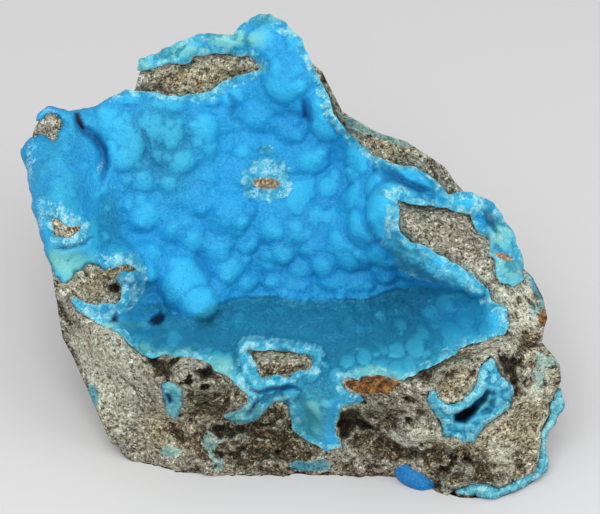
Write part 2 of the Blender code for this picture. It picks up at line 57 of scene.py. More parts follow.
# The shape of the showing face, as heights at chosen places, in face millimetres
WALL_FOOT = [
    (-42, -29, 4), (-37, -36, 5), (-31, -40, 5), (-22, -42, 8), (-8, -42, 8), (6, -42, 8), (19, -41, 11),
    (29, -46, 12), (37, -47, 14), (47, -43, 10), (48, -36, 11)]
WALL_MIDDLE = [
    (-45, -19, 4), (-37, -24, 9), (-29, -30, 10), (-20, -32, 12), (-8, -34, 12), (4, -34, 11),
    (16, -32, 14), (25, -33, 18), (37, -33, 18), (47, -28, 15)]
FRONT_RIM = [
    (-47, -8, 11), (-40, -10, 10), (-34, -15, 15), (-28, -19, 16), (-22, -18, 16), (-16, -20, 17),
    (-11, -25, 18), (-3, -26, 17), (8, -24, 20), (14, -23, 22), (20, -21, 22), (27, -19, 21), (35, -16, 18),
    (40, -13, 16), (49, -12, 10), (50, -21, 18)]
FLOOR = [
    (-32, -14, 3), (-20, -16, 0), (-8, -15, -4), (4, -15, -4), (16, -15, -2), (28, -13, -2), (34, -11, 1),
    (10, -19, 9), (22, -17, 9), (-16, -18, 8), (30, -15, 10)]
FLOOR_BACK = [
    (-34, -9, -2), (-17, -9, -12), (-8, -8, -16), (4, -8, -16), (16, -8, -15), (23, -7, -13), (34, -9, 1)]
BACK_WALL = [
    (-36, 15, -1), (-36, 3, -3), (-26, 7, -7), (-26, -3, -10), (-14, 1, -12), (-14, 16, -9), (0, 1, -14),
    (0, 14, -12), (0, 26, -8), (-14, 28, -7), (-30, 25, -1), (11, 1, -10), (11, 12, -10), (8, 22, -9),
    (15, 3, -6), (23, -3, -8)]
TOP_RIM = [
    (-42, 29, 0), (-36, 31, 0), (-31, 39, 0), (-20, 37, -2), (-20, 43, -2), (-11, 36, -4), (-6, 48, 0),
    (-2, 37, 0), (4, 36, 0), (9, 27, 0), (15, 25, 0), (21, 23, 3), (28, 18, 5), (33, 13, 6)]
LEFT_LEDGE = [
    (-54, 23, 4), (-50, 29, 2), (-54, 17, 5), (-47, 19, 8), (-43, 21, 3), (-52, 8, 9), (-46, 11, 11),
    (-42, 10, 5), (-49, 0, 9), (-44, 3, 12), (-39, 3, 4), (-44, -1, 9), (-35, -2, 4)]
RIGHT_END = [(36, -1, 10), (44, -1, 5), (41, 6, 3), (32, -5, 9), (39, -7, 12), (47, -7, 5), (45, -15, 15)]
RIGHT_RIDGE = [(20, 10, 8), (17, 7, 9), (27, 4, 10), (37, 1, 8), (17, 12, 5), (24, 0, 10), (33, -4, 9)]
RIGHT_GROOVE = [(21, 15, 0), (17, 19, -1), (25, 13, 1), (38, 7, 2)]
FACE_HEIGHTS = (WALL_FOOT + WALL_MIDDLE + FRONT_RIM + FLOOR + FLOOR_BACK + BACK_WALL + TOP_RIM
                + LEFT_LEDGE + RIGHT_END + RIGHT_RIDGE + RIGHT_GROOVE)

# Outlines on the face, in face millimetres, clockwise
ROCK_OUTLINE = [
    (-6, 48), (-3, 46), (-1, 43.5), (1, 40), (4.5, 37), (6.5, 33), (8.5, 29), (11, 27.5), (15.5, 25),
    (21, 23), (25, 20.5), (28.5, 18), (30.5, 15), (33, 12.5), (37.5, 10), (39.5, 7.5), (42, 4),
    (43.5, -1.5), (46, -4), (48, -8), (48.5, -12), (46.5, -16), (50, -20.5), (50.5, -24), (49.5, -27),
    (50, -31), (47.5, -35.5), (47.5, -42), (41.5, -44.5), (36.5, -46), (28.5, -46.7), (27, -45.9),
    (25.6, -44.7), (23.6, -42.9), (21.1, -41.4), (18.6, -41.2), (12, -42.5), (-2, -42), (-20, -42.5),
    (-25.5, -40), (-33, -39), (-37.5, -36.5), (-40, -31), (-42.5, -25.5), (-47, -16), (-48, -7), (-49.5, 0),
    (-51.5, 8.5), (-54, 20), (-53, 25), (-51, 29.5), (-47, 28.5), (-42.5, 29), (-33, 33.5), (-31.5, 39),
    (-23.5, 42), (-17.5, 44), (-13.5, 43.5), (-9, 47)]
CRUST_OUTLINE = [
    (-5.5, 48.7), (-2.5, 46.8), (-0.5, 44.2), (2, 40), (4.5, 34.5), (7, 29), (9.5, 25), (12, 23),
    (15, 20.5), (19, 18.5), (23.5, 18), (26.5, 15.5), (29.5, 12.5), (33.5, 13), (38.5, 11), (40.7, 7.7),
    (43, 4), (44.5, -1), (44, -4.5), (41.6, -5.8), (39, -5), (38.2, -3), (38.4, -0.8), (37.4, 0.6),
    (37.2, 3.6), (35, 5.5), (33.5, 8.5), (25.5, 10), (19, 11), (19.5, 5), (21.5, 3), (26, 1.4),
    (29.7, -1.2), (34, -3.7), (37.2, -6.3), (37.6, -8.4), (40.2, -9.8), (40.7, -12.6), (39.6, -14.8),
    (37, -15.8), (32.8, -17.1), (28.3, -19), (24.4, -21), (20.7, -22.9), (19.8, -23.7), (18.5, -23.5),
    (15.4, -22.7), (12.3, -22.9), (11.2, -23.7), (9.6, -23.5), (8.1, -23.8), (8.0, -24.6), (8.7, -25.4),
    (10, -26.2), (11.9, -26.6), (12.3, -27.5), (11.2, -28.7), (9.6, -28.8), (8.3, -28.9), (7.5, -29.8),
    (7, -33.5), (8.5, -37.5), (5.5, -38), (0.5, -36), (-1, -34.8), (-1.7, -31.7), (-2.5, -29.3),
    (-3.3, -28.3), (-5.2, -28.6), (-7.2, -30.5), (-8.9, -31.6), (-10.5, -32.7), (-12.3, -33), (-14, -32.2),
    (-14.7, -31), (-13.4, -30.3), (-11.6, -29.6), (-10.2, -28.5), (-9.9, -27.2), (-11.4, -25.5),
    (-13.7, -23.2), (-17.5, -20.5), (-21.4, -19.4), (-26, -19), (-30.5, -19.2), (-33.5, -16.8),
    (-35.2, -14.6), (-37, -14.1), (-39.4, -13), (-42.2, -11.2), (-44.4, -9.6), (-45.2, -7.6), (-42.8, -8.5),
    (-40.3, -9.6), (-37.8, -9.2), (-36.6, -9.4), (-35.8, -7.9), (-35.6, -5.7), (-36.4, -4.7), (-37.7, -3.8),
    (-38.4, -2.6), (-39.8, -1.7), (-41.2, -1.2), (-42.8, -1.9), (-44.3, -3), (-45, -4.6), (-46.4, -5.2),
    (-48.2, -4), (-49.4, -1.4), (-50.2, 0), (-52.6, 8.5), (-54.5, 17.5), (-55.6, 21.2), (-53.8, 23.6),
    (-51.5, 24.4), (-49.5, 23), (-48, 23.5), (-47.3, 26.5), (-48.2, 28), (-50.4, 28.6), (-51.8, 27.2),
    (-52.8, 27.4), (-52.4, 28.9), (-50.6, 30), (-48.6, 30.1), (-46, 29.3), (-42.5, 30), (-37, 32.5),
    (-34.6, 33.4), (-33, 33), (-29, 33), (-24, 32), (-19, 33), (-15, 36), (-11, 36.5), (-7.5, 38),
    (-10, 40.5), (-18.5, 41), (-21.5, 40.5), (-23, 38.5), (-27.5, 38.5), (-31.5, 37), (-32.7, 37.4),
    (-32, 40), (-28.5, 41.2), (-20.5, 44.6), (-17.5, 45.2), (-13.5, 44.6), (-12.3, 46.6), (-8, 48.7)]
SMALL_PATCH = [(-48.6, 7.6), (-46.8, 7), (-45.6, 6.2), (-42.8, 5.8), (-43.4, 4.6), (-45.4, 3.8), (-48.2, 4)]
COLUMN_PATCH = [(-10.5, -18), (-5, -18.5), (2.5, -19.5), (2.5, -21), (-2, -23), (-7.5, -23.5), (-9, -21)]
ISLANDS = [SMALL_PATCH, COLUMN_PATCH]
SMALL_VUG = [
    (36.6, -18.6), (37.4, -20), (38.5, -22.5), (41, -25), (41, -26.5), (40.5, -29), (38.5, -30.5),
    (36, -32), (34.5, -34), (33.5, -36), (32.5, -36), (30, -35), (27.5, -35), (27, -31.5), (25, -29),
    (24, -27), (24.5, -25.5), (26, -25.5), (26, -26.5), (28, -28), (31, -27.5), (33, -25.5), (34, -22.8),
    (34.1, -21.2), (35.2, -19.8)]
SMALL_VUG_SLOT = [
    (35.8, -24.6), (34.4, -26.4), (32.6, -28.4), (29.3, -30.3), (29.6, -31.8), (31.8, -32), (34, -31.2),
    (36.4, -30.3), (38, -28.4), (38.2, -26.2), (37, -24.9)]
SMALL_VUG_DARK = [
    (35.8, -24.9), (34.4, -26.5), (32.6, -28.5), (29.4, -30.4), (29.6, -31.6), (31.6, -31.8), (33.6, -30.2),
    (35.9, -27.4), (36.3, -25.8)]
# The slot's part under its overhang, painted black as shade
SMALL_VUG_SHADE = [(33.2, -28), (29.4, -30.4), (29.6, -31.6), (31.4, -31.7), (33.2, -30.6), (34.3, -29)]
WINDOW = [(-27, -24.5), (-24.5, -24), (-22.5, -25.5), (-22.5, -28.5), (-24.5, -32), (-26, -31)]
WINDOW_HOLE = [(-25.9, -26.6), (-24.9, -26.4), (-24.6, -27.8), (-25.4, -28.4)]
EDGE_CRUST = [
    (50.8, -25.4), (51.6, -28.5), (51.4, -29.5), (50, -32.5), (48.6, -33.8), (48.3, -37), (48.9, -40),
    (48.6, -42.3), (46.8, -43.5), (43.8, -45.1), (40.6, -46.3), (37.3, -47.3), (35.8, -47.1), (34.3, -46.3),
    (32.3, -46.4), (30.2, -46.2), (30.6, -45.2), (33.8, -44.3), (36.8, -44.3), (38.3, -45.1), (41.1, -44.3),
    (43.8, -43.1), (46.3, -42.4), (46.9, -40), (47, -37), (47.2, -33.8), (48.7, -31), (48.8, -28.5),
    (49.6, -26.5)]

# The small crusts: mesh, node, slot, outline, depth, height of the lumps, share of green, the outlines and
# depths of the hollows, and the places painted black as shade
POCKETS = [
    ("small_vug_lining", "small_vug_crust", "teal_crust", SMALL_VUG, 7.5, 0.8, 0.4,
     [(SMALL_VUG_SLOT, 2.0), (SMALL_VUG_DARK, 4.6)], [SMALL_VUG_SHADE]),
    ("window_lining", "window_crust", "teal_crust", WINDOW, 5.0, 0.4, 1.0,
     [(WINDOW_HOLE, 3.5)], [WINDOW_HOLE]),
    ("edge_lining", "edge_crust", "teal_crust", EDGE_CRUST, 6.0, 0.7, 0.75, [], [])]
POCKET_SEATS = [(SMALL_VUG, 7.0), (WINDOW, 5.0), (EDGE_CRUST, 5.5)]
POCKET_LIFT = 0.35
POCKET_EDGE = 1.6

# Round lobes of the crust, in face millimetres: place on the face, then radius
WALL_LOBES = [
    (-8.8, 28.8, 4.7), (-1.8, 25.6, 4.2), (1.8, 20.8, 5.6), (6.8, 14.4, 5.2), (12, 12, 4.6),
    (-35, 20.5, 4.4), (-35, 24.5, 4.4), (-15.4, -2.4, 5.0), (-22, 3.7, 4.6), (-17, 1.8, 4.5),
    (3.4, 8.2, 4.4), (12, 6.4, 4), (16.5, 5, 3), (5.2, -1.4, 4.1), (-28.5, 8.5, 3.4), (-21, 11.5, 4.3),
    (-24.5, 19.5, 4.6), (-19.4, 26.4, 4.8), (-26, 24.6, 4), (-5.8, 6.4, 4.6), (-4, 1.5, 4.1),
    (-0.6, 5.4, 4.0), (13.6, 0.8, 3.7), (-11, 21.5, 3.8), (-26.4, 15.2, 3.7), (-14, 32.5, 3.5),
    (8.2, 3.2, 3.4), (-2, -5, 3.5)]
WALL_FOOT_LOBES = [
    (-17, -6.5, 3.6), (-11.5, -5.2, 3.4), (-5.5, -4.9, 3.6), (0.5, -5.4, 3.4), (6.5, -5.0, 3.8),
    (12.5, -5.2, 3.4), (17.5, -3.8, 3.2), (22, -3.6, 2.6), (-30.5, -3, 3)]
PROUD_LOBES = [(-3, 35.2, 5.9), (-14.3, 9.2, 6.0), (-31.8, 9, 4.8)]
FLOOR_LOBES = [
    (20.5, -13.6, 1.9), (16.4, -12.1, 1.5), (5.6, -14.5, 2.5), (1, -14.8, 1.9), (32.7, -12, 2.3),
    (29.5, -14.3, 2.1), (29.2, -9.4, 2.4), (36.9, -13.8, 2), (18.6, -17.9, 1.6), (22.4, -17.5, 2),
    (-15.8, -12.6, 2.7), (-12.8, -12.8, 2.4), (-8.3, -13.8, 1.7), (-18.6, -15.9, 2.1), (1.7, -9.6, 1.9),
    (7.7, -10.3, 2.1), (-30.6, -11.3, 2.9), (26, -11.2, 2), (35, -9.6, 1.9), (32.2, -8.6, 1.8),
    (27.2, -13, 1.7), (32.8, -15.4, 1.7), (11.9, -14.5, 1.6), (-25, -15.4, 2.4), (24.2, -14.6, 1.6),
    (36, -11.6, 1.6), (13, -9.4, 1.8), (-4, -10.4, 2)]

# Loose balls at the wall's foot: middle in face millimetres, then radius
FREE_BALLS = [(-25.4, -3.6, -10.4, 5.2), (-23.6, -6.4, -9.4, 5.0), (-20.9, -9.6, -7.2, 3.9)]
FREE_BALL_EASE = 2.6
FREE_BALL_CLEARANCE = 1.5

# How deep lobes are sunk, as a share of their radius, and how softly they join
LOBE_SINK = 0.5
PROUD_LOBE_SINK = 0.42
FILL_LOBE_SINK = 0.7
SUB_LOBE_SINK = 0.86
LOBE_EASE = 1.1
SUB_LOBE_EASE = 0.4

# Scattered lobes: one to a cell of this size, the least and most radius, and the seed
FILL_LOBES = (5.6, (4.6, 6.2), 47)
FILL_LOW, FILL_HIGH = (-56, -24), (46, 50)
FILL_LEFT_END = -39
FILL_GAP = 2.5
SUB_LOBES = (3.6, (1.6, 2.6), 51)
FLOOR_SUB_SHARE = 0.8
FLOOR_FILL = (3.0, (1.0, 1.9), 59)
FLOOR_LOW, FLOOR_HIGH = (-35, -22), (37, -7)
FLOOR_FILL_GAP = 0.5
FLOOR_BUMP = 0.75
ROUND_POWER = 0.7
FOOT_STEP = 1.6
BEAD_HEIGHT = 0.07
FINE_HEIGHT = 0.06
LEDGE_SWELL = 0.4

# The vug's floor, which is flatter and more teal than its walls, and a hole in it at the left, painted dark
# as shade
FLOOR_REGION = [
    (-36, -13), (-32, -9.5), (-28.5, -9.3), (-25.5, -11.5), (-21.5, -12), (-18, -9.6), (-12, -8.4),
    (-6.6, -7.9), (0, -8.6), (6, -8.9), (11, -8.6), (15.4, -8), (20, -6.4), (28.8, -6), (34, -6.8),
    (36, -10), (38, -16), (20, -26), (-14, -30), (-24, -20), (-34, -18)]
VUG_HOLE = [
    (-30.2, -13), (-29.6, -12), (-28.4, -11.2), (-27.4, -11.6), (-27.4, -12.6), (-28.2, -13.6),
    (-29.4, -13.8)]
VUG_HOLE_DEPTH = 3.0

# Balls that broke open: place on the face, radius
BROKEN_BALLS = [(-6.7, 15.6, 5.0), (-7.2, 22.3, 1.3)]

# Creases of the crust: points along each, then half-width and depth
CRUST_CREASES = [
    ([(-8.1, -26.1), (-8.5, -27.6), (-8.9, -29.2), (-9.8, -30.6), (-11.2, -31.2)], 0.4, 2.0),
    ([(0.6, 32), (1.2, 29.0), (2.3, 26.6)], 0.7, 2.0),
    ([(-31.6, 26), (-30.6, 23.4), (-30.8, 20.8), (-29, 18.2), (-27.6, 16.8)], 0.7, 0.8),
    ([(-14.4, 33.4), (-13.2, 31), (-13.6, 28.6), (-12, 26.2)], 0.8, 1.1),
    ([(-45.4, 28), (-43.6, 25.6), (-41, 24.2), (-39.3, 21.4), (-39, 18), (-39.4, 14.6)], 1.0, 2.2),
    ([(14.8, 18.6), (18.5, 16.6), (21.5, 14.3), (25.8, 13.4)], 1.0, 1.9),
    ([(36.4, 9.6), (38.2, 7), (39.3, 4.4)], 0.8, 1.8),
    ([(-48.6, 1.6), (-45.6, 1.9), (-42.4, 2.6), (-40.4, 4.4)], 0.45, 1.5),
    ([(-10.6, -25.2), (-8.4, -26), (-6.7, -25.9), (-4.4, -25.5), (-1.4, -25.4), (0.6, -26.4)], 0.55, 2.4)]

# Hollows of the rock with steep, broken walls: outline on the face, then depth
ROCK_CAVITIES = [
    ([(-30.4, -20), (-29, -19), (-26.6, -19), (-24.8, -19.4), (-24, -20.6), (-24.6, -22), (-24.4, -23.6),
     (-25.6, -24.6), (-27.2, -23), (-28.8, -21.8)], 3.2),
    ([(-20.4, -21.2), (-19, -20.8), (-17.4, -21), (-16, -22), (-16, -23), (-17.2, -23.8), (-18.2, -24.4),
     (-19.6, -24.4), (-20.2, -23)], 6.0),
    ([(-18, -33.8), (-16.8, -32.4), (-14.8, -31.4), (-14, -32.4), (-12.8, -33), (-10.4, -33), (-8, -32.4),
     (-4.8, -31.2), (-4.4, -32.8), (-7.6, -33.8), (-11.2, -34.6), (-14.4, -35.4), (-16.4, -35.8)], 4.0),
    ([(-39, -6), (-38.2, -5), (-36.8, -4.9), (-36, -5.8), (-36.3, -7), (-37.3, -7.9), (-38.7, -7.6)], 5.0),
    ([(7.3, -29.6), (9.2, -29.2), (11.2, -29.6), (13, -31.2), (15, -33), (13, -34.6), (11.2, -33.8), (9.2,
     -35.2), (7.7, -36.4), (7.2, -33)], 4.0),
    ([(18, -31.2), (19.2, -30.7), (19.8, -32), (19.2, -33.2), (18.1, -32.8)], 2.0),
    ([(37.6, -17.8), (38.9, -17.4), (40.3, -18.6), (41.9, -19.4), (43.5, -18.8), (43.1, -20.6), (41.9,
     -21.7), (42.1, -24.1), (42.7, -26.4), (42.1, -28.2), (41.1, -26.6), (40, -24.3), (38.9, -22.5), (37.9,
     -20.2)], 4.5),
    ([(21.5, -22.3), (23, -21.2), (24.9, -20.8), (26.5, -21.8), (25.7, -23.2), (24.2, -24.6), (22.6, -24.8),
     (21.9, -23.6)], 2.2),
    ([(40, -18.6), (41.4, -18.1), (43.2, -17.4), (44.6, -16.9), (45, -17.6), (43.2, -18.6), (41.2, -19.4)],
     3.0)]
CAVITY_EDGE = (-0.3, 1.5)
# Depth at which a cavity's painted shade is full
FULL_SHADE_DEPTH = 4.0

# Shallow dishes of the rock: place on the face, half-sizes along p, q and h, turn in the face
ROCK_DISHES = [
    ((30.3, -24.4), (4.3, 3.2, 2.6), 25), ((23.2, -28.8), (1.6, 2.2, 1.4), 10),
    ((-17.5, -29.5), (5.0, 2.6, 2.2), 25), ((-4, -37), (8.0, 3.4, 2.4), -6),
    ((13, -36.5), (4.0, 2.4, 2.2), 0), ((45, -24), (2.6, 3.6, 1.6), 10), ((22, -21.8), (5.0, 1.6, 1.4), 12),
    ((-27.5, -33), (2.0, 4.5, 1.0), 15)]
ROCK_CREASES = [
    ([(14.4, -32.8), (16.4, -35.6), (19.6, -38), (23.6, -38.4), (26.4, -36.6)], 0.9, 1.8),
    ([(-27.2, -25.2), (-26.2, -29.8), (-24.8, -34.4), (-23.2, -39)], 0.4, 0.9),
    ([(-25, -33.2), (-24.2, -34.8), (-23.2, -36.8)], 0.6, 1.6),
    ([(-49, -7), (-47.2, -10), (-45.4, -13.4)], 0.9, 1.6), ([(-39, -20), (-33, -25), (-30, -34)], 0.6, 0.7),
    ([(31, -38), (36, -41), (44, -40)], 0.6, 1.2)]

# The column of crust that was broken across, and where the channel and the arch beside it lie lower
COLUMN_OUTER = [
    (-12.8, -17.4), (-11.8, -16), (-9.8, -15.6), (-4.8, -16), (2, -16.8), (4.4, -17.6), (5.2, -19.2),
    (4, -22.2), (1.6, -23.2), (-4, -25.4), (-8, -26.2), (-9.4, -25), (-10.8, -22.8), (-12.2, -20.4),
    (-12.6, -18.8)]
COLUMN_MIDDLE = -20.5
COLUMN_TOP = 15.5
COLUMN_SLOPE = 0.45
COLUMN_LEAST_RISE = 0.8
COLUMN_EDGE = (-0.1, 0.9)
LOWER_REGION = [
    (-8.3, -25.9), (-6.7, -25.8), (-4.4, -25.4), (-1.4, -25.4), (0, -26), (1.7, -27.6), (3.2, -30),
    (4.7, -33), (5.6, -36.4), (5, -39), (-2, -37.5), (-14, -34.5), (-15.2, -31.5), (-13, -29.4),
    (-10, -29.2), (-8.2, -27.6)]
LOWER_DEPTH = 3.4
LOWER_FADE = (-39.0, -33.0)
LEFT_RING = [
    (-38.8, -1), (-37.2, 0.6), (-34.8, 1.2), (-32.1, 0.8), (-30.5, -1), (-31.1, -3.6), (-31.5, -5.3),
    (-32.1, -7.9), (-33.7, -9.7), (-35, -10.9), (-36.8, -10.1), (-36, -7.9), (-36, -5.7), (-35.4, -4.2),
    (-33, -2.6), (-35.6, -1.9)]
LEFT_RING_RISE = 1.5
LEFT_RING_EDGE = (-0.3, 1.2)
AZURE_PLATE = [(19.7, 17.1), (23, 17.4), (25.5, 15.8), (27, 13.4), (24.3, 14.1), (21.2, 15.5)]
PLATE_RISE = 0.9
# A deep groove, painted dark as shade
SHADED_GROOVE = [
    (14.3, 18.6), (20.3, 15.8), (23, 13.9), (26.7, 13.2), (22.5, 13.1), (21.5, 14.6), (19.1, 14.5),
    (17.3, 14.7), (15.1, 16.7)]

# Splinters of the rock: points along each, half-width, lift above the face; and their colour marks
SPLINTERS = [
    ([(-38.2, -4.6), (-36.6, -3.1), (-35.2, -2), (-34, -2.1), (-32.6, -2.6)], 0.75, 3.4),
    ([(-39, -4.4), (-38.2, -3.2), (-37.1, -1.7)], 0.38, 3.2),
    ([(-40.2, -4), (-39.4, -3), (-38.8, -1.9)], 0.3, 3.0)]
SPLINTER_MARKS = {"yellow": 0.8, "rust": 0.2, "brown": 0.4}
SPLINTER_STEP = 0.3
SPLINTER_SEED = 151

# Middle, half-sizes and, for the blue growth under the front edge, its turn
ROUND_LUMP = ((22, -31.3, 10.5), (5.4, 6.0, 9.5))
BALL_MIDDLE, BALL_HALF_SIZES, BALL_TURN = (22.7, -43.2, 8.6), (4.7, 2.7, 3.4), -32
BALL_COLUMNS, BALL_ROWS = 96, 49
# The growth's marks: the crust's deepest blue, with a little painted shade under the front edge
BALL_MARKS = {"crest_tone_and_light": -1.0, "dark": 0.12}
CRUST_MARKS = ("crest_tone_and_light", "teal", "cyan", "green", "section", "core", "dark", "frost", "along", "across",
               "chip")

# The rest outline and sides, in the table's millimetres round the face's middle
REST_OUTLINE = [
    (46, -33), (48, -22), (46, -8), (42, 8), (34, 22), (20, 32), (4, 36), (-12, 36), (-26, 30), (-36, 17),
    (-40, 3), (-40, -10), (-37, -20), (-31, -27.5), (-22, -31), (-6, -31.5), (8, -31.5), (17, -30.8),
    (23, -31.5), (27, -35), (30, -38), (37, -38.5), (42, -37)]
REST_DEPTH = 3.0
BACK_BULGE = 7.0
SIDE_BULGE = 2.5
TALL_SIDE = 60.0
WALL_ROUGHNESS = 1.1
SIDE_ROUGHNESS = 2.0
PIT_CELLS = (3.6, 33)
PIT_SHARE = 0.4
PIT_DEPTH = 3.0
MIDDLE_OF_FACE = np.array((-1.0, -4.0))

# Flat breaks of the sides and back: turn and tilt in degrees, then distance from the face's middle
BREAKS = [
    ((88, 6), 36.0), ((55, 2), 34.5), ((122, -4), 38.0), ((28, 18), 38.5), ((150, 22), 38.0),
    ((176, -16), 43.0), ((100, 42), 47.0), ((2, -2), 46.0), ((64, -32), 38.0), ((140, -35), 41.0),
    ((70, 40), 43.0), ((105, -12), 37.0)]
BREAK_ONSET = 3.0
ROCK_COLUMNS = 660
HIDDEN_ROWS = 14
HIDDEN_SHARE = 0.42
FRONT_ROWS = 78
SIDE_ROWS = 54

# How finely the crusts are made, and how their edges look
CRUST_CELL = 0.36
SMALL_CELL = 0.24
# Smoothing rounds and depth for the painted light on crests and the painted shade in creases, on the crusts
# and the rock
CREST_ROUNDS = 70
CREASE_ROUNDS = 8
CREASE_DEPTH = 0.13
RELIEF_ROUNDS = 12
EDGE_CELL = 2.4
SECTION_WIDTH = 2.5
SECTION_DROP = 0.8
CHIP_HEIGHT = 0.28
ROLL_RADIUS = 2.4

# Noises: cell in millimetres, seed and number of layers
NOISES = {
    "large lobes": (4.5, 71, 3), "small lobes": (2.0, 81, 1), "fine crust": (1.1, 95, 3),
    "ledge": (4.2, 93, 3), "pools": (5.0, 64, 3), "torn": (1.8, 66, 2), "section": (5.0, 61, 3),
    "rough rock": (5.0, 3, 1), "rock push": (2.2, 13, 4), "crags": (4.6, 19, 4), "ridges": (1.8, 21, 2),
    "caves": (3.0, 27, 4), "broad side": (14.0, 5, 1), "rough side": (5.0, 7, 1),
    "side detail": (2.2, 29, 3), "dull side": (13.0, 45, 4), "tan side": (17.0, 46, 3),
    "patches": (3.0, 43, 4), "pocket": (1.6, 63, 3), "ball": (1.0, 77, 1)}

# Patterns of one point to a cell: cell in millimetres and seed
BEADS = (1.3, 91)
CHIPS = (1.3, 97)
POCKET_LUMPS = (1.7, 88)
ROCK_GRAINS = (0.8, 23)

# The camera: distance from the face's middle, and the width that it sees there
CAMERA_DISTANCE = 520.0
VIEW_WIDTH = 120.0
SENSOR = 36.0

# Lamps: name, place and size in millimetres, power
LAMPS = [("key lamp", (-45, -330, 460), 400, 1.7), ("side lamp", (420, -240, 300), 260, 0.55)]
LAMP_TARGET = (0, 0, 25)
SKY = (0.97, 0.985, 1.0, 1.0)
SKY_STRENGTH = 0.98

# The stage's floor, in millimetres: front end, start of its curve, radius, top, half-width
FLOOR_GREY = (199, 198, 198)
STAGE_FRONT, STAGE_BEND, STAGE_RADIUS, STAGE_TOP, STAGE_HALF = -900, 500, 300, 900, 1200

# The crust's colours from crease to crests, darker in the creases (part the crust's own deeper colour, part
# painted shade) and lighter on the crests with painted light: strength of the clouding, the range of the mark
# from crease to crests, then the ramp
CRUST_TONES = {
    "azure": (0.5, (-0.9, 0.9), [(0.0, (5, 102, 166)), (0.5, (15, 142, 200)), (1.0, (40, 172, 218))]),
    "floor": (0.5, (-0.6, 0.7), [(0.0, (8, 84, 112)), (0.5, (14, 112, 144)), (1.0, (46, 154, 182))]),
    "ledge": (0.6, (-0.7, 0.7), [(0.0, (8, 98, 138)), (0.5, (14, 128, 176)), (1.0, (32, 150, 190))]),
    "moss": (0.9, (-0.7, 0.7), [(0.0, (16, 88, 104)), (0.5, (42, 130, 144)), (1.0, (116, 188, 180))])}
BROKEN_CRUST = [(0.0, (34, 132, 168)), (0.3, (58, 156, 186)), (0.65, (86, 178, 198)), (1.0, (160, 208, 216))]
CORE_BROWN = [(0.3, (72, 54, 38)), (0.5, (144, 116, 84)), (0.7, (212, 200, 172))]

# The rock's colours from its dark grains to its pale ones
GREY_ROCK = [(0.08, (40, 36, 28)), (0.24, (80, 75, 61)), (0.42, (124, 119, 103)), (0.76, (162, 158, 142)),
             (0.94, (214, 211, 195))]
WARM_ROCK = [(0.08, (42, 35, 23)), (0.24, (86, 76, 53)), (0.42, (136, 127, 101)), (0.76, (174, 166, 137)),
             (0.94, (222, 215, 188))]
DARK_ROCK = [(0.08, (14, 11, 7)), (0.4, (52, 44, 30)), (0.7, (98, 87, 64)), (0.94, (176, 163, 128))]
SUGAR_ROCK = [(0.1, (96, 92, 72)), (0.3, (158, 158, 138)), (0.6, (196, 199, 180)), (0.9, (232, 232, 216))]
TEAL_FILM = [(0.3, (92, 136, 132)), (0.5, (130, 176, 168)), (0.7, (178, 204, 190))]
RUST = [(0.25, (44, 29, 15)), (0.5, (108, 70, 32)), (0.75, (160, 116, 64))]

# Pools of colour on the crust: place on the face, half-width, half-height
WALL_TEAL = [(-38, 6, 3, 7), (-33, -6, 3, 4), (-28, 22, 8, 9), (-32, -12, 5, 5)]
LEDGE_CYAN = [
    (32, -13, 7, 5), (-50, 20, 7, 7), (-48, 12, 7, 7), (-46, 26, 6, 6), (-45, 4, 6, 6), (-46, 0, 5, 4),
    (-38, 1, 4, 3), (40, 4, 4, 8), (28, 14, 8, 2), (42, -2, 4, 4), (-37, -12, 9, 3)]
CRUST_GREEN = [
    (-12.4, -31.6, 3.4, 2.2), (2, -32, 4, 6), (-46, -1.5, 5, 3), (-26, 41.5, 8, 2.4), (-14, 43.6, 7, 2.2),
    (-7, 48, 4, 2.6), (-32, 38.5, 3, 2.5), (-36, -13.5, 8, 1.2), (-27, -18.2, 8, 1.0), (-15, -21.6, 3, 1.6),
    (-10, -31, 5, 2), (14, -22.4, 7, 1.0), (42, -2.6, 3.6, 3.4), (40.5, 5, 2.4, 5)]
FROST = [
    (-13, -31.6, 3, 1.6), (-53.4, 18, 1.6, 8), (-51, 8, 1.6, 6), (-50, 28.6, 3, 1.4), (-34, -2, 3.6, 2.4),
    (15, 21, 3, 1.6), (20, 18.6, 4, 1), (26, 16.2, 4, 1), (18.6, 13.2, 2.4, 2), (5, 34, 1.6, 5),
    (8, 27.5, 2, 3.5), (17.6, 6, 1.6, 4), (-33, 33, 3, 1), (-17, 34.4, 4, 1.2), (-9, 37.6, 2.4, 1.4),
    (-40.2, 18, 1.0, 2.6), (-37.5, 14, 1.0, 2.4), (-48, 8.6, 5, 3), (-44.6, 3.2, 5, 1.8),
    (-40, -11.5, 5, 1.6), (-33.8, -4, 2.4, 6), (-38, 0, 4, 1.6), (-5.8, 17.6, 2.8, 1.8),
    (-9.6, 13, 1.4, 1.4), (-3.8, 13.2, 1.6, 1), (-11, -28, 4, 5), (10.4, -27.4, 2.4, 1.6), (40, -12, 2, 3),
    (9, -22.8, 3, 0.9)]
CORE_POOLS = [(-6.9, 15.0, 3.0, 1.3)]
# Pools of painted light and painted shade on the crust, which even out how the lamps fall on the wall and
# floor
PAINTED_LIGHT_POOLS = [(-12.6, -31.2, 2.6, 1.8), (28, 4, 20, 3), (6, 16, 7, 9), (14, 5, 5, 7), (-46, -1, 5, 3)]
PAINTED_SHADE_POOLS = [
    (-2, -15, 16, 4), (-31, -13, 7, 4), (-48, 18, 6, 8), (-13, 16, 3, 3.5), (3, -31, 6, 8), (-5, 25, 10, 9),
    (-24, -16, 8, 3), (-16, 10, 11, 7), (-3, 36, 6, 6)]
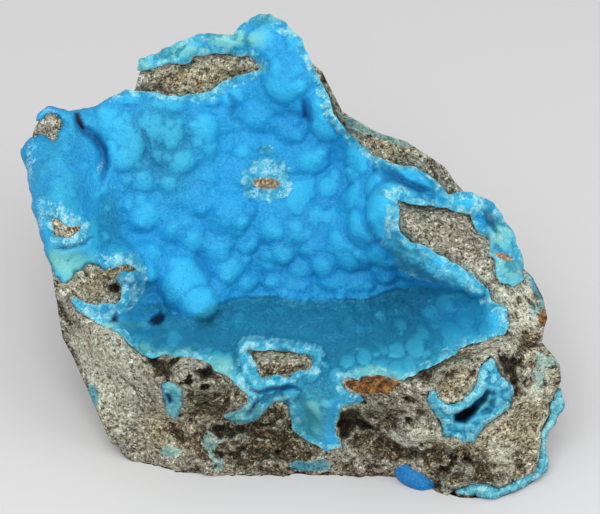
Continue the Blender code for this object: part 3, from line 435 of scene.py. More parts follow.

# Places of the crust where it is broken across or brown, and places painted dark as shade, with their own
# outlines
RIGHT_LUMP = [
    (15, 13.4), (16.4, 14.3), (17.9, 13.8), (19.5, 14.5), (20.9, 14.3), (22.1, 12.8), (22.3, 11.4),
    (20.7, 10), (19.3, 10.6), (17.3, 11.4), (15.8, 12.2)]
RIGHT_BAND = [
    (16.7, 10.4), (19.6, 10), (20, 4.9), (21.6, 2.4), (27.4, -1), (31.9, -3.5), (35.3, -5.9), (37.6, -8.4),
    (35.7, -8.4), (31.8, -6.5), (26.9, -5.1), (23.5, -4.3), (19.6, -1.6), (18.8, 1.4), (16.3, 2.7),
    (16.9, 6.3)]
LEFT_FIBRES = [
    (-44.7, -8.9), (-42.8, -10.1), (-40.2, -10.9), (-37.6, -9.7), (-36.2, -10.5), (-35.4, -12.9),
    (-35.2, -15.4), (-37.2, -14.5), (-40, -12.9), (-42.8, -10.9)]
OUTER_BAND = [
    (34, 12.4), (38.4, 10.6), (40.4, 7.6), (42.6, 4), (44, -0.4), (41.6, 0.4), (40, 4), (38, 7.4),
    (35, 9.6)]
TOP_BAND = [
    (12.4, 23.2), (16, 20.4), (20, 18.6), (23.6, 18.2), (26.6, 15.6), (24.6, 16), (19.6, 17), (15.4, 18.6),
    (12, 21)]
SECTION_PLACES = [RIGHT_LUMP, RIGHT_BAND, LEFT_FIBRES, LEFT_RING, OUTER_BAND, TOP_BAND]
SLIVER = [(38, 1), (39.6, 0.8), (41.2, 0.6), (42.8, -0.6), (40.6, -0.9), (39, -0.1)]
# Deep gaps painted dark as shade
SHADE_PLACES = [
    [(-45.2, 28.8), (-44.2, 28.9), (-43.2, 26.8), (-42.8, 25.2), (-43.8, 25.4), (-44.8, 27)],
    [(-37.3, -12.8), (-36.4, -10.8), (-35.5, -12.8)]]

# Pools of colour and roughness on the rock: place on the face, half-width, half-height
ROCK_BROWN = [
    (24.5, -23, 3.4, 1.6), (31, -19.4, 4, 1.0), (41, -23, 2.6, 5), (-5, -33, 11, 6), (-6, -35, 12, 9),
    (12, -32, 5, 5), (-17, -27, 7, 6), (18, -37.6, 7, 2.4), (-27, -21, 4, 3), (34, -42, 8, 4),
    (28, -40, 5, 4), (40, -23, 3, 6), (24, -21.5, 7, 1.8), (-18, -36, 5, 4), (43.5, -16.4, 4, 1.6),
    (-4, -20.6, 11, 4.5)]
ROCK_YELLOW = [
    (-26, -34, 7, 5), (43, -30, 9, 14), (38, -37, 12, 8), (29, -23, 5, 5), (-38, -5, 6, 5), (20, 24, 14, 6),
    (-46, 5.5, 3, 3), (-18, 35, 14, 5)]
ROCK_GREY = [(28, 4, 10, 6)]
ROCK_PALE = [(25, 20.5, 3, 2), (42, -9, 6, 6), (33, -3, 6, 2), (46, -24, 3, 5)]
ROCK_ASH = [(-39, -23, 12, 15), (39.5, -38, 4.5, 4), (25, -34, 4, 3)]
ASH = 0.65
ROCK_CRAGS = [(-4, -34, 14, 9), (14, -32, 9, 8), (-22, -24, 9, 6), (40, -22, 6, 6), (30, -40, 12, 6)]
CALM_ROCK = [(22.5, -42.5, 5, 3), (28, 4, 11, 6), (-36, -28, 9, 12), (40, -36, 6, 5)]

# Patches of colour on the rock with their own outlines
LUMP_RIM = [
    (16.1, -34.1), (18.2, -35.9), (20.5, -37.4), (23.2, -38.1), (25.2, -37.4), (26.1, -35.6), (24.7, -35.9),
    (22.3, -36.2), (19.9, -35.3), (17.6, -33.5)]
ORANGE = [
    (8.1, -23.8), (9.6, -23.4), (11.1, -23.8), (12.3, -22.9), (15.3, -22.6), (18.4, -23.4), (19.9, -24),
    (18.7, -25), (16.8, -26.1), (13.8, -26.2), (11.5, -25.9), (8.8, -24.9)]
ORANGE_SPOT = [(46.4, -11.6), (47.4, -10.6), (49, -11.2), (49, -12.8), (48, -13.4), (46.6, -13)]
SMALL_RUST = [(-45.8, 7), (-42.4, 6.6), (-42.6, 4.4), (-44.6, 4), (-45.9, 5)]
TOP_RUST = [(-20.4, 35.6), (-19.2, 35.4), (-18.9, 34), (-20, 33.2), (-20.8, 34.4)]
RIM_RUST = [(31.4, -17.7), (34.4, -16.6), (33.8, -18.2), (32, -18.8)]
RIM_RUST_LOW = [(26.6, -19.9), (28.6, -19.2), (29.6, -20), (27.8, -21.1)]
MINT = [
    (46, -18.3), (47, -19.1), (49.2, -19.1), (51.2, -20.4), (51.2, -21.1), (49.2, -20.9), (47.5, -22.4),
    (47, -23.4), (46.7, -25.9), (45.7, -24.9), (45, -22.9), (45.5, -20.6)]
BLOB = [
    (38.8, -1.2), (40.6, -0.8), (42.4, -1.4), (44, -2.4), (44, -4), (43, -5.6), (41, -5.6), (39.2, -4.6),
    (38.2, -3)]
OUTER_TEAL = [
    (44.2, -2.2), (45.6, -2.4), (47.6, -4.2), (49.2, -7), (49.4, -9.2), (48.4, -10.8), (47, -8.4),
    (46, -6.2), (44.4, -4.6)]
PALE_TEAL = [(44.8, -9.2), (46.4, -8.6), (47.6, -9.2), (47.2, -10.8), (45.8, -12), (44.6, -11.6)]
GREEN_FILM = [
    (8.2, 28.4), (11.2, 28.4), (15.4, 26.4), (21, 23.9), (22.8, 22.6), (20, 22.2), (16, 23.8), (12, 25.2),
    (9.6, 26)]
LEFT_BLUE = [
    (-44, -25.6), (-41.2, -25), (-40.2, -26), (-39.6, -28), (-40.2, -30.4), (-41.6, -30), (-43, -27)]
BOTTOM_TEAL = [(-27.6, -37.6), (-25.6, -37), (-23.6, -37.8), (-23.2, -39.2), (-25.2, -39.4), (-27, -38.8)]
PALE_LUMP_LOW = [
    (-19, -35.4), (-17.6, -34.2), (-15.2, -34), (-14.8, -35.2), (-16.4, -37.2), (-18, -38), (-19, -37.2)]
BLUE_UNDER = [
    (-2.2, -40.8), (0, -40.4), (2.4, -40.2), (4.8, -40), (5.8, -41.2), (5, -43), (0, -43), (-2, -42.6)]
LOOPS = [
    (-18.2, -38.2), (-17, -37.8), (-15.7, -39), (-14.9, -41), (-15.3, -42.3), (-16.9, -42.1),
    (-17.6, -40.2)]
ROCK_RUSTS = [ORANGE, ORANGE_SPOT]
FAINT_RUSTS = [SMALL_RUST, TOP_RUST, RIM_RUST, RIM_RUST_LOW]
FAINT_RUST = 0.55
ROCK_FILMS = [
    MINT, BLOB, OUTER_TEAL, PALE_TEAL, GREEN_FILM, LEFT_BLUE, BOTTOM_TEAL, PALE_LUMP_LOW, BLUE_UNDER, LOOPS]
DEEP_FILMS = [OUTER_TEAL, LEFT_BLUE, BLUE_UNDER]
SMOOTH_FILMS = [MINT, BLOB, OUTER_TEAL, PALE_LUMP_LOW, ORANGE]


def table_to_face(points):
    """Table millimetres round the face's middle, turned into (p, q, h)."""
    x, y, z = np.moveaxis(np.asarray(points, float), -1, 0)
    up, out = math.sin(FACE_LEAN), math.cos(FACE_LEAN)
    return np.stack([x, y * out + z * up, z * out - y * up], -1)


def face_to_table(points):
    """Face millimetres turned into table millimetres round the face's middle."""
    p, q, h = np.moveaxis(np.asarray(points, float), -1, 0)
    up, out = math.sin(FACE_LEAN), math.cos(FACE_LEAN)
    return np.stack([p, q * out - h * up, q * up + h * out], -1)


def to_metres(points):
    """Face millimetres to the table's metres, kept on or above the surface that the specimen rests on."""
    placed = face_to_table(points) + FACE_MIDDLE
    placed[:, 2] = np.maximum(placed[:, 2], 0.0)
    return placed * MM


def beside(points, height=0.0):
    """Places on the face with a height put beside them."""
    return np.column_stack([points, np.broadcast_to(height, len(points))])


class FaceRelief:
    """A thin plate bent through the chosen heights, which gives the face's height and normal anywhere."""

    def __init__(self, heights):
        table = np.array(heights, float)
        self.places = table[:, :2]
        count = len(table)
        bend = self.bending(self.places) + HEIGHT_EASE * np.eye(count)
        flat = np.column_stack([np.ones(count), self.places])
        system = np.block([[bend, flat], [flat.T, np.zeros((3, 3))]])
        self.weights = np.linalg.solve(system, np.append(table[:, 2], np.zeros(3)))

    def bending(self, points):
        """The plate's own curve round each chosen place: distance^2 * log(distance^2) / 2."""
        squares = ((points[:, None, :] - self.places[None]) ** 2).sum(-1)
        return 0.5 * squares * np.log(np.maximum(squares, 1e-9))

    def height(self, points):
        flat = np.column_stack([np.ones(len(points)), points])
        return self.bending(points) @ self.weights[:-3] + flat @ self.weights[-3:]

    def normal(self, points):
        slopes = [(self.height(points + step) - self.height(points - step)) / (2 * NORMAL_STEP)
                  for step in np.eye(2) * NORMAL_STEP]
        normal = np.stack([-slopes[0], -slopes[1], np.ones(len(points))], -1)
        return normal / np.linalg.norm(normal, axis=1, keepdims=True)


RELIEF = FaceRelief(FACE_HEIGHTS)


def face_height(points):
    """The face's height, with the column standing proud and the channel and arch beside it stepped down."""
    widening = 1.0 + 2.0 * eased(points[:, 0], -1.0, 1.5)
    lower = eased(inside_of(points, LOWER_REGION), -0.2, widening) * eased(points[:, 1], *LOWER_FADE)
    raised = eased(inside_of(points, COLUMN_OUTER), *COLUMN_EDGE)
    ring = eased(inside_of(points, LEFT_RING), *LEFT_RING_EDGE)
    height = RELIEF.height(points) - LOWER_DEPTH * lower + LEFT_RING_RISE * ring
    top = COLUMN_TOP - COLUMN_SLOPE * (points[:, 1] - COLUMN_MIDDLE)
    return height + raised * np.maximum(top - height, COLUMN_LEAST_RISE)


def corner_value(corner, seed):
    """A fixed value from -1 to 1 for each whole-number corner, mixed from its numbers by large primes."""
    x, y, z = np.moveaxis(corner, -1, 0)
    key = (x * 73856093 ^ y * 19349663 ^ z * 83492791 ^ seed * 2654435761) & 0xFFFFFFFF
    key = (key ^ (key >> 15)) * 2246822519 & 0xFFFFFFFF
    key = (key ^ (key >> 13)) * 3266489917 & 0xFFFFFFFF
    return (key >> 8) / float(1 << 23) - 1


def lattice_noise(points, cell, seed):
    """Smooth noise from -1 to 1: whole-number corners get fixed values, which are blended across a cell."""
    scaled = np.asarray(points, float) / cell
    corner = np.floor(scaled).astype(np.int64)
    blend = scaled - corner
    blend = blend * blend * (3 - 2 * blend)
    total = np.zeros(len(scaled))
    for offset in itertools.product((0, 1), repeat=3):
        weight = np.where(offset, blend, 1 - blend).prod(-1)
        total += corner_value(corner + offset, seed) * weight
    return total


def layered_noise(points, cell, seed, layers=3):
    """Noise in layers, each with half the cell and half the strength of the one before."""
    return sum(lattice_noise(points, cell / 2 ** layer, seed + 11 * layer) / 2 ** layer
               for layer in range(layers))


def noise(name, points):
    return layered_noise(points, *NOISES[name])


def pushes(points, cell, seed, layers):
    """Two noises side by side, with seeds next to each other, that push places about on the face."""
    return np.column_stack([layered_noise(points, cell, seed + axis, layers) for axis in (0, 1)])


def push(name, points):
    return pushes(points, *NOISES[name])


def cell_pattern(points, cell, seed):
    """One jittered point in each cell: the distance to the nearest, in cells, and its fixed value."""
    scaled = np.asarray(points, float) / cell
    corner = np.floor(scaled).astype(np.int64)
    nearest, value = np.full(len(scaled), 9.0), np.zeros(len(scaled))
    for offset in itertools.product((-1, 0, 1), repeat=3):
        home = corner + offset
        jitter = np.stack([corner_value(home, seed + axis) for axis in range(3)], -1)
        away = ((home + 0.5 + 0.42 * jitter - scaled) ** 2).sum(-1)
        value = np.where(away < nearest, corner_value(home, seed + 5), value)
        nearest = np.minimum(nearest, away)
    return np.sqrt(nearest), value


def line_gap(points, line):
    """Distance from each point to an open line of straight runs, and how far along it that is, 0 to 1."""
    line = np.array(line, float)
    lengths = np.linalg.norm(np.diff(line, axis=0), axis=1)
    run = np.append(0, np.cumsum(lengths))
    gap, along = np.full(len(points), np.inf), np.zeros(len(points))
    for start, end, before, length in zip(line[:-1], line[1:], run[:-1], lengths):
        step = end - start
        share = np.clip((points - start) @ step / length ** 2, 0, 1)
        away = np.linalg.norm(points - start - share[:, None] * step, axis=1)
        along = np.where(away < gap, (before + share * length) / run[-1], along)
        gap = np.minimum(gap, away)
    return gap, along


def resampled(line, count, endpoint=True):
    """A line read off at evenly spaced places, and how far along it each of them is."""
    run = np.append(0, np.cumsum(np.linalg.norm(np.diff(line, axis=0), axis=1)))
    places = np.linspace(0, run[-1], count(run[-1]), endpoint=endpoint)
    return np.column_stack([np.interp(places, run, column) for column in line.T]), places / run[-1]


def creased(points, creases):
    """How deep a set of creases cuts: depth * exp(-(distance / half-width)^2), fading to both ends."""
    depth = np.zeros(len(points))
    for line, width, deep in creases:
        gap, along = line_gap(points, line)
        fade = np.sqrt(np.clip(4 * along * (1 - along), 0.05, 1))
        depth = np.maximum(depth, deep * fade * np.exp(-(gap / (width * fade)) ** 2))
    return depth


def eased(value, low, high):
    """A smooth step from 0 at low to 1 at high."""
    share = np.clip((value - low) / (high - low), 0, 1)
    return share * share * (3 - 2 * share)


def soft_max(first, second, ease):
    """The higher of two heights, rounded where they meet."""
    near = np.maximum(ease - np.abs(first - second), 0) / ease
    return np.maximum(first, second) + near * near * ease / 4


def steepness(points):
    """How much longer a depth gets when it is measured along h instead of square to the surface."""
    return np.minimum(1 / RELIEF.normal(points)[:, 2], MOST_STEEPNESS)


def wavy(outline, wave, seed, step=0.5):
    """A closed outline resampled in short steps and pushed about by noise, as a break runs."""
    closed = np.array([*outline, outline[0]], float)
    dense, _ = resampled(closed, lambda length: int(length / step), endpoint=False)
    return dense + wave * pushes(beside(dense), EDGE_CELL, seed, 4)


def ring_gap(points, ring, block=4000):
    """How far each point is inside a closed ring (negative outside), the nearest place and its run along."""
    start = ring
    step = np.roll(ring, -1, 0) - ring
    length = np.linalg.norm(step, axis=1)
    run = np.append(0, np.cumsum(length))[:-1]
    rise = np.where(step[:, 1] == 0, 1e-9, step[:, 1])
    gaps, places, runs = [], [], []
    for first in range(0, len(points), block):
        part = points[first:first + block]
        offset = part[:, None] - start[None]
        share = np.clip((offset * step).sum(-1) / length ** 2, 0, 1)
        away = np.linalg.norm(offset - share[..., None] * step, axis=-1)
        pick = away.argmin(1)
        index = np.arange(len(part))
        above = offset[..., 1] >= 0
        crosses = above != np.roll(above, -1, 1)
        edge_p = start[:, 0] + (part[:, 1:] - start[:, 1]) * step[:, 0] / rise
        inside = (crosses & (part[:, :1] < edge_p)).sum(1) % 2 == 1
        gaps.append(np.where(inside, away[index, pick], -away[index, pick]))
        places.append(start[pick] + share[index, pick, None] * step[pick])
        runs.append(run[pick] + share[index, pick] * length[pick])
    return np.concatenate(gaps), np.concatenate(places), np.concatenate(runs)


def inside_of(points, outline):
    return ring_gap(points, np.array(outline, float))[0]


def outlined(points, outlines, soft=0.3):
    """1 inside any of the outlines and 0 outside, with a soft step across their edges."""
    share = np.zeros(len(points))
    for outline in outlines:
        share = np.maximum(share, eased(inside_of(points, outline), -soft, soft))
    return share


def pooled(points, pools):
    """A soft mark from 0 to 1 around a few places: each pool is (p, q, half-width, half-height)."""
    total = np.zeros(len(points))
    for p, q, wide, tall in pools:
        offset = ((points - (p, q)) / (wide, tall)) ** 2
        total = np.maximum(total, np.exp(-(offset.sum(1) ** 1.5)))
    return total


def sheet_gap(points, outline, holes):
    """How far each point is inside a sheet with holes, with the nearest edge place, its run and its ring."""
    gap, place, run = ring_gap(points, outline)
    which = np.zeros(len(points), int)
    for index, hole in enumerate(holes, 1):
        hole_gap, hole_place, hole_run = ring_gap(points, hole)
        closer = -hole_gap < gap
        gap = np.where(closer, -hole_gap, gap)
        place = np.where(closer[:, None], hole_place, place)
        run = np.where(closer, hole_run, run)
        which = np.where(closer, index, which)
    return gap, place, run, which


def scattered_lobes(low, high, cell, radii, seed):
    """One lobe in each cell of the face, jittered, with its radius from a fixed random value."""
    p, q = np.meshgrid(np.arange(low[0], high[0], cell), np.arange(low[1], high[1], cell), indexing="ij")
    corner = np.column_stack([np.arange(p.size), np.zeros(p.size, int), np.zeros(p.size, int)])
    jitter = np.column_stack([corner_value(corner, seed), corner_value(corner, seed + 1)])
    size = 0.5 + 0.5 * corner_value(corner, seed + 2)
    places = np.column_stack([p.ravel(), q.ravel()]) + 0.45 * cell * jitter
    return np.column_stack([places, radii[0] + (radii[1] - radii[0]) * size])


def lobe_centres(lobes, height_at, sink):
    """Centres of balls that are sunk in a surface by a share of their radius, and their radii."""
    lobes = np.array(lobes, float)
    places, radius = lobes[:, :2], lobes[:, 2]
    centres = beside(places, height_at(places))
    return centres - RELIEF.normal(places) * (radius * sink)[:, None], radius


def domed(points, height, centres, radii, ease):
    """The surface raised to each ball's upper half, softly joined: centre + sqrt(radius^2 - distance^2)."""
    height = height.copy()
    for centre, radius in zip(centres, radii):
        offset = ((points - centre[:2]) ** 2).sum(1)
        near = offset < radius ** 2
        over = centre[2] + np.sqrt(radius ** 2 - offset[near])
        height[near] = soft_max(height[near], over, min(ease, 0.5 * radius))
    return height


def floor_rise(points):
    """Rounds on the vug's floor: each rises by its radius times (1 - (distance / radius)^2)^0.7."""
    rise = np.zeros(len(points))
    small = scattered_lobes(FLOOR_LOW, FLOOR_HIGH, *FLOOR_FILL)
    small = small[inside_of(small[:, :2], FLOOR_REGION) > FLOOR_FILL_GAP]
    for p, q, radius in FLOOR_LOBES + small.tolist():
        away = ((points - (p, q)) ** 2).sum(1) / radius ** 2
        rise = np.maximum(rise, radius * np.clip(1 - away, 0, 1) ** ROUND_POWER)
    return FLOOR_BUMP * rise


def lobed_height(points):
    """The crust's free surface with large lobes only: low ones that fill the wall, then the named ones."""
    warp = push("large lobes", beside(points))
    below = inside_of(points + 0.5 * warp, FLOOR_REGION)
    along_wall = eased(points[:, 1], -13.5, -10.5) * eased(30 - points[:, 0], 0, 4)
    height = face_height(points)
    height -= FOOT_STEP * eased(below, -0.2, 0.4) * (1 - eased(below, 0.8, 5.0)) * along_wall
    fill = scattered_lobes(FILL_LOW, FILL_HIGH, *FILL_LOBES)
    fill = fill[(inside_of(fill[:, :2], FLOOR_REGION) < -FILL_GAP) & (fill[:, 0] > FILL_LEFT_END)]
    groups = ((fill, FILL_LOBE_SINK), (WALL_LOBES + WALL_FOOT_LOBES, LOBE_SINK),
              (PROUD_LOBES, PROUD_LOBE_SINK))
    for lobes, sink in groups:
        centres, radii = lobe_centres(lobes, face_height, sink)
        height = domed(points + 0.3 * warp, height, centres, radii, LOBE_EASE)
    height += floor_rise(points + 0.2 * warp)
    balls = np.array(FREE_BALLS)
    return domed(points + 0.5 * warp, height, balls[:, :3], balls[:, 3], FREE_BALL_EASE)


def spread_out(values, quads, rounds):
    """Values on the grid's points averaged with their neighbours', round after round."""
    shares = np.bincount(quads.ravel(), minlength=len(values))
    for _ in range(rounds):
        middles = values[quads].mean(1)
        values = np.bincount(quads.ravel(), np.repeat(middles, 4), len(values)) / shares
    return values


def grid_quads(index):
    """The quads between the rows and columns of a table of point numbers."""
    return np.stack([index[:-1, :-1], index[1:, :-1], index[1:, 1:], index[:-1, 1:]], -1).reshape(-1, 4)


def tube_quads(rows, columns):
    """The quads of a tube, whose last column joins the first, and the numbers of its two end rings."""
    index = np.arange(rows * columns).reshape(rows, columns)
    return grid_quads(np.column_stack([index, index[:, 0]])), index[0].tolist(), index[-1].tolist()


def grid_in(outline, holes, cell):
    """Grid points and the quads whose middles are in the sheet; edge points are moved onto the outline."""
    low, high = outline.min(0) - cell, outline.max(0) + cell
    columns, rows = np.ceil((high - low) / cell).astype(int) + 1
    p, q = np.meshgrid(low[0] + cell * np.arange(columns), low[1] + cell * np.arange(rows), indexing="ij")
    points = np.column_stack([p.ravel(), q.ravel()])
    quads = grid_quads(np.arange(columns * rows).reshape(columns, rows))
    inside = sheet_gap(points[quads].mean(1), outline, holes)[0] > 0
    kept = quads[inside]
    used = np.unique(kept)
    at_edge = np.intersect1d(used, np.unique(quads[~inside]))
    points[at_edge] = sheet_gap(points[at_edge], outline, holes)[1]
    renumber = np.full(len(points), -1)
    renumber[used] = np.arange(len(used))
    return points[used], renumber[kept]


def border_edges(quads):
    """The directed edges that only one quad has."""
    edges = np.concatenate([quads[:, [0, 1]], quads[:, [1, 2]], quads[:, [2, 3]], quads[:, [3, 0]]])
    key = np.sort(edges, 1)
    _, first, count = np.unique(key, axis=0, return_index=True, return_counts=True)
    return edges[first[count == 1]]


def add_mesh(name, places, faces, material):
    """A smooth mesh object at the origin, from places in metres."""
    mesh = bpy.data.meshes.new(name)
    mesh.from_pydata(places, [], faces)
    mesh.update()
    mesh.polygons.foreach_set("use_smooth", np.full(len(mesh.polygons), True))
    mesh.materials.append(material)
    thing = bpy.data.objects.new(name, mesh)
    bpy.context.scene.collection.objects.link(thing)
    return thing


def make_piece(name, points, faces, material, marks):
    """A visible piece from face millimetres, with named number marks on its points."""
    piece = add_mesh(name, to_metres(points), faces, material)
    for label, values in marks.items():
        layer = piece.data.attributes.new(label, "FLOAT", "POINT")
        layer.data.foreach_set("value", np.asarray(values, np.float32))
    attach(piece, "root")
    return piece


def make_sheet(name, points, height, bottom, quads, material, marks):
    """A closed shell: the top quads, the same quads reversed below, and walls along the borders."""
    count = len(points)
    edges = border_edges(quads)
    walls = np.column_stack([edges[:, 1], edges[:, 0], edges[:, 0] + count, edges[:, 1] + count])
    faces = np.concatenate([quads, quads[:, ::-1] + count, walls]).tolist()
    shell = np.concatenate([beside(points, height), beside(points, bottom)])
    twice = {label: np.tile(values, 2) for label, values in marks.items()}
    return make_piece(name, shell, faces, material, twice)


class Wire:
    """A node's output socket; arithmetic on wires adds Math nodes."""

    def __init__(self, finish, socket):
        self.finish = finish
        self.socket = socket

    def joined(self, operation, first, second):
        return self.finish.add("ShaderNodeMath", {"operation": operation}, {0: first, 1: second})

    def __add__(self, other):
        return self.joined("ADD", self, other)

    def __radd__(self, other):
        return self.joined("ADD", other, self)

    def __sub__(self, other):
        return self.joined("SUBTRACT", self, other)

    def __rsub__(self, other):
        return self.joined("SUBTRACT", other, self)

    def __mul__(self, other):
        return self.joined("MULTIPLY", self, other)

    def __rmul__(self, other):
        return self.joined("MULTIPLY", other, self)


def screen(red, green, blue):
    """A colour as seen on a screen, from 0 to 255, turned into the renderer's own linear numbers."""
    shares = np.array((red, green, blue)) / 255
    linear = np.where(shares <= 0.04045, shares / 12.92, ((shares + 0.055) / 1.055) ** 2.4)
    return tuple(linear.tolist())


class Finish:
    """A procedural material whose patterns are measured in millimetres, and the colour it has so far."""

    def __init__(self, name):
        self.material = bpy.data.materials.new(name)
        self.material.use_nodes = True
        self.tree = self.material.node_tree
        self.shader = self.tree.nodes["Principled BSDF"]
        place = self.add("ShaderNodeTexCoord", {}, {}, "Object")
        self.place = self.add("ShaderNodeVectorMath", {"operation": "SCALE"}, {0: place, "Scale": 1 / MM})
        self.colour = None

    def add(self, kind, settings, inputs, output=0):
        """Adds a node: its settings first, a ramp's stops among them, then its sockets' values or links."""
        node = self.tree.nodes.new(kind)
        for label, value in settings.items():
            if label == "stops":
                elements = node.color_ramp.elements
                for index, (position, colour) in enumerate(value):
                    stop = elements[index] if index < 2 else elements.new(position)
                    stop.position = position
                    stop.color = (*screen(*colour), 1.0)
            else:
                setattr(node, label, value)
        for label, value in inputs.items():
            self.feed(node.inputs[label], value)
        return Wire(self, node.outputs[output])

    def feed(self, socket, value):
        if isinstance(value, Wire):
            self.tree.links.new(value.socket, socket)
        elif isinstance(value, tuple) and socket.type == "RGBA":
            socket.default_value = (*value, 1.0)
        else:
            socket.default_value = value

    def marks(self, *labels):
        """The piece's own number marks, one wire for each label."""
        return [self.add("ShaderNodeAttribute", {"attribute_name": label}, {}, "Fac") for label in labels]

    def noise(self, size, detail=2.0, roughness=0.5, place=None):
        inputs = {"Vector": place or self.place, "Scale": 1 / size, "Detail": detail, "Roughness": roughness}
        return self.add("ShaderNodeTexNoise", {}, inputs, "Fac")

    def cells(self, size, output="Distance"):
        return self.add("ShaderNodeTexVoronoi", {}, {"Vector": self.place, "Scale": 1 / size}, output)

    def channel(self, colour, label):
        return self.add("ShaderNodeSeparateColor", {}, {0: colour}, label)

    def step(self, value, low, high):
        settings = {"interpolation_type": "SMOOTHSTEP"}
        return self.add("ShaderNodeMapRange", settings, {"Value": value, "From Min": low, "From Max": high})

    def mixed(self, share, first, second):
        return self.add("ShaderNodeMix", {"data_type": "RGBA"}, {0: share, 6: first, 7: second}, 2)

    def cover(self, share, colour):
        """Lays a wire, or a colour as seen on a screen, over the colour so far, by a share from 0 to 1."""
        layer = colour if isinstance(colour, Wire) else screen(*colour)
        self.colour = self.mixed(share, self.colour, layer)

    def ramp(self, value, stops):
        return self.add("ShaderNodeValToRGB", {"stops": stops}, {"Fac": value}, "Color")

    def bumped(self, height, distance, strength):
        """Bump from a height that runs from 0 to 1, over a distance in millimetres."""
        inputs = {"Height": height, "Distance": distance * MM, "Strength": strength}
        return self.add("ShaderNodeBump", {}, inputs, "Normal")

    def shade(self, **values):
        for label, value in {"Base_Color": self.colour, **values}.items():
            self.feed(self.shader.inputs[label.replace("_", " ")], value)
        return self.material


def crust_finish(name):
    """Blue botryoidal crust: deeper in the creases, part its own colour and part painted shade, teal on the
    floor, pale and fibrous where broken, with painted glints and painted shade in holes and grooves.
    """
    finish = Finish(name)
    crest_tone_and_light, teal, cyan, green, section, core, dark, frost, along, across, chip = finish.marks(*CRUST_MARKS)
    cloud = finish.noise(5.0, 3.0)
    mottle = finish.noise(0.55, 3.0, 0.6)
    blotch = finish.noise(1.3, 3.0, 0.6)
    fibre_place = finish.add("ShaderNodeCombineXYZ", {}, {"X": along * 2.6, "Y": across * 0.7, "Z": 0.0})
    fibres = finish.noise(1.0, 3.0, 0.6, place=fibre_place)
    tones = {label: finish.ramp(finish.step(crest_tone_and_light + clouding * (cloud - 0.5), *ends), stops)
             for label, (clouding, ends, stops) in CRUST_TONES.items()}
    finish.colour = tones["azure"]
    finish.cover(teal, tones["floor"])
    finish.cover(cyan, tones["ledge"])
    finish.cover(green, tones["moss"])
    grain = finish.step(mottle, 0.35, 0.7)
    finish.cover(0.3 * grain, (84, 184, 222))
    pores = finish.step(finish.noise(0.9, 4.0, 0.7), 0.55, 0.72)
    finish.cover(0.36 * pores, (6, 94, 150))
    pattern = 0.35 * fibres + 0.35 * mottle + 0.3 * blotch + 0.14 * chip
    broken = finish.ramp(finish.step(pattern, 0.28, 0.74), BROKEN_CRUST)
    ragged = finish.step(section + 0.7 * (blotch - 0.5) + 0.2 * chip + 0.5 * (mottle - 0.5), 0.3, 0.7)
    finish.cover(ragged * 0.85, finish.mixed(green * 0.6, broken, tones["moss"]))
    cream = ragged * (1 - finish.step(across + 1.2 * (blotch - 0.3), 0.1, 0.5))
    finish.cover(0.36 * cream, (186, 196, 184))
    ice = finish.step(finish.noise(0.30, 3.0, 0.7) + 0.08 * chip + 0.04 * frost, 0.60, 0.70)
    finish.cover(ice * ragged * 0.45, (206, 228, 234))
    snow = finish.step(frost + 1.5 * (mottle - 0.5) + 1.5 * (fibres - 0.5), 0.85, 1.25)
    finish.cover(snow * 0.55, (168, 214, 226))
    finish.cover(finish.step(core + 1.4 * (mottle - 0.5), 0.35, 0.6), finish.ramp(mottle, CORE_BROWN))
    # Painted shade: deep blue, then near black, where the dark mark is high
    finish.cover(finish.step(dark, 0.0, 0.6) * 0.8, (6, 60, 120))
    finish.cover(finish.step(dark, 0.55, 0.85), (10, 34, 40))
    # Painted glints: tiny white sparkles, more on the broken edges
    specks = finish.step(finish.noise(0.22, 1.0), 0.72, 0.78)
    finish.cover(specks * (0.34 + 0.5 * ragged), (215, 235, 240))
    rise = 0.6 * finish.noise(0.8, 4.0, 0.65) + 0.35 * finish.cells(0.34) + 0.4 * (fibres * ragged)
    return finish.shade(Roughness=0.42 + 0.2 * grain, Normal=finish.bumped(rise, 0.42, 0.9), IOR=1.5,
                        Specular_IOR_Level=0.2, Subsurface_Weight=0.2, Subsurface_Radius=(0.15, 0.7, 1.0),
                        Subsurface_Scale=1.6 * MM)


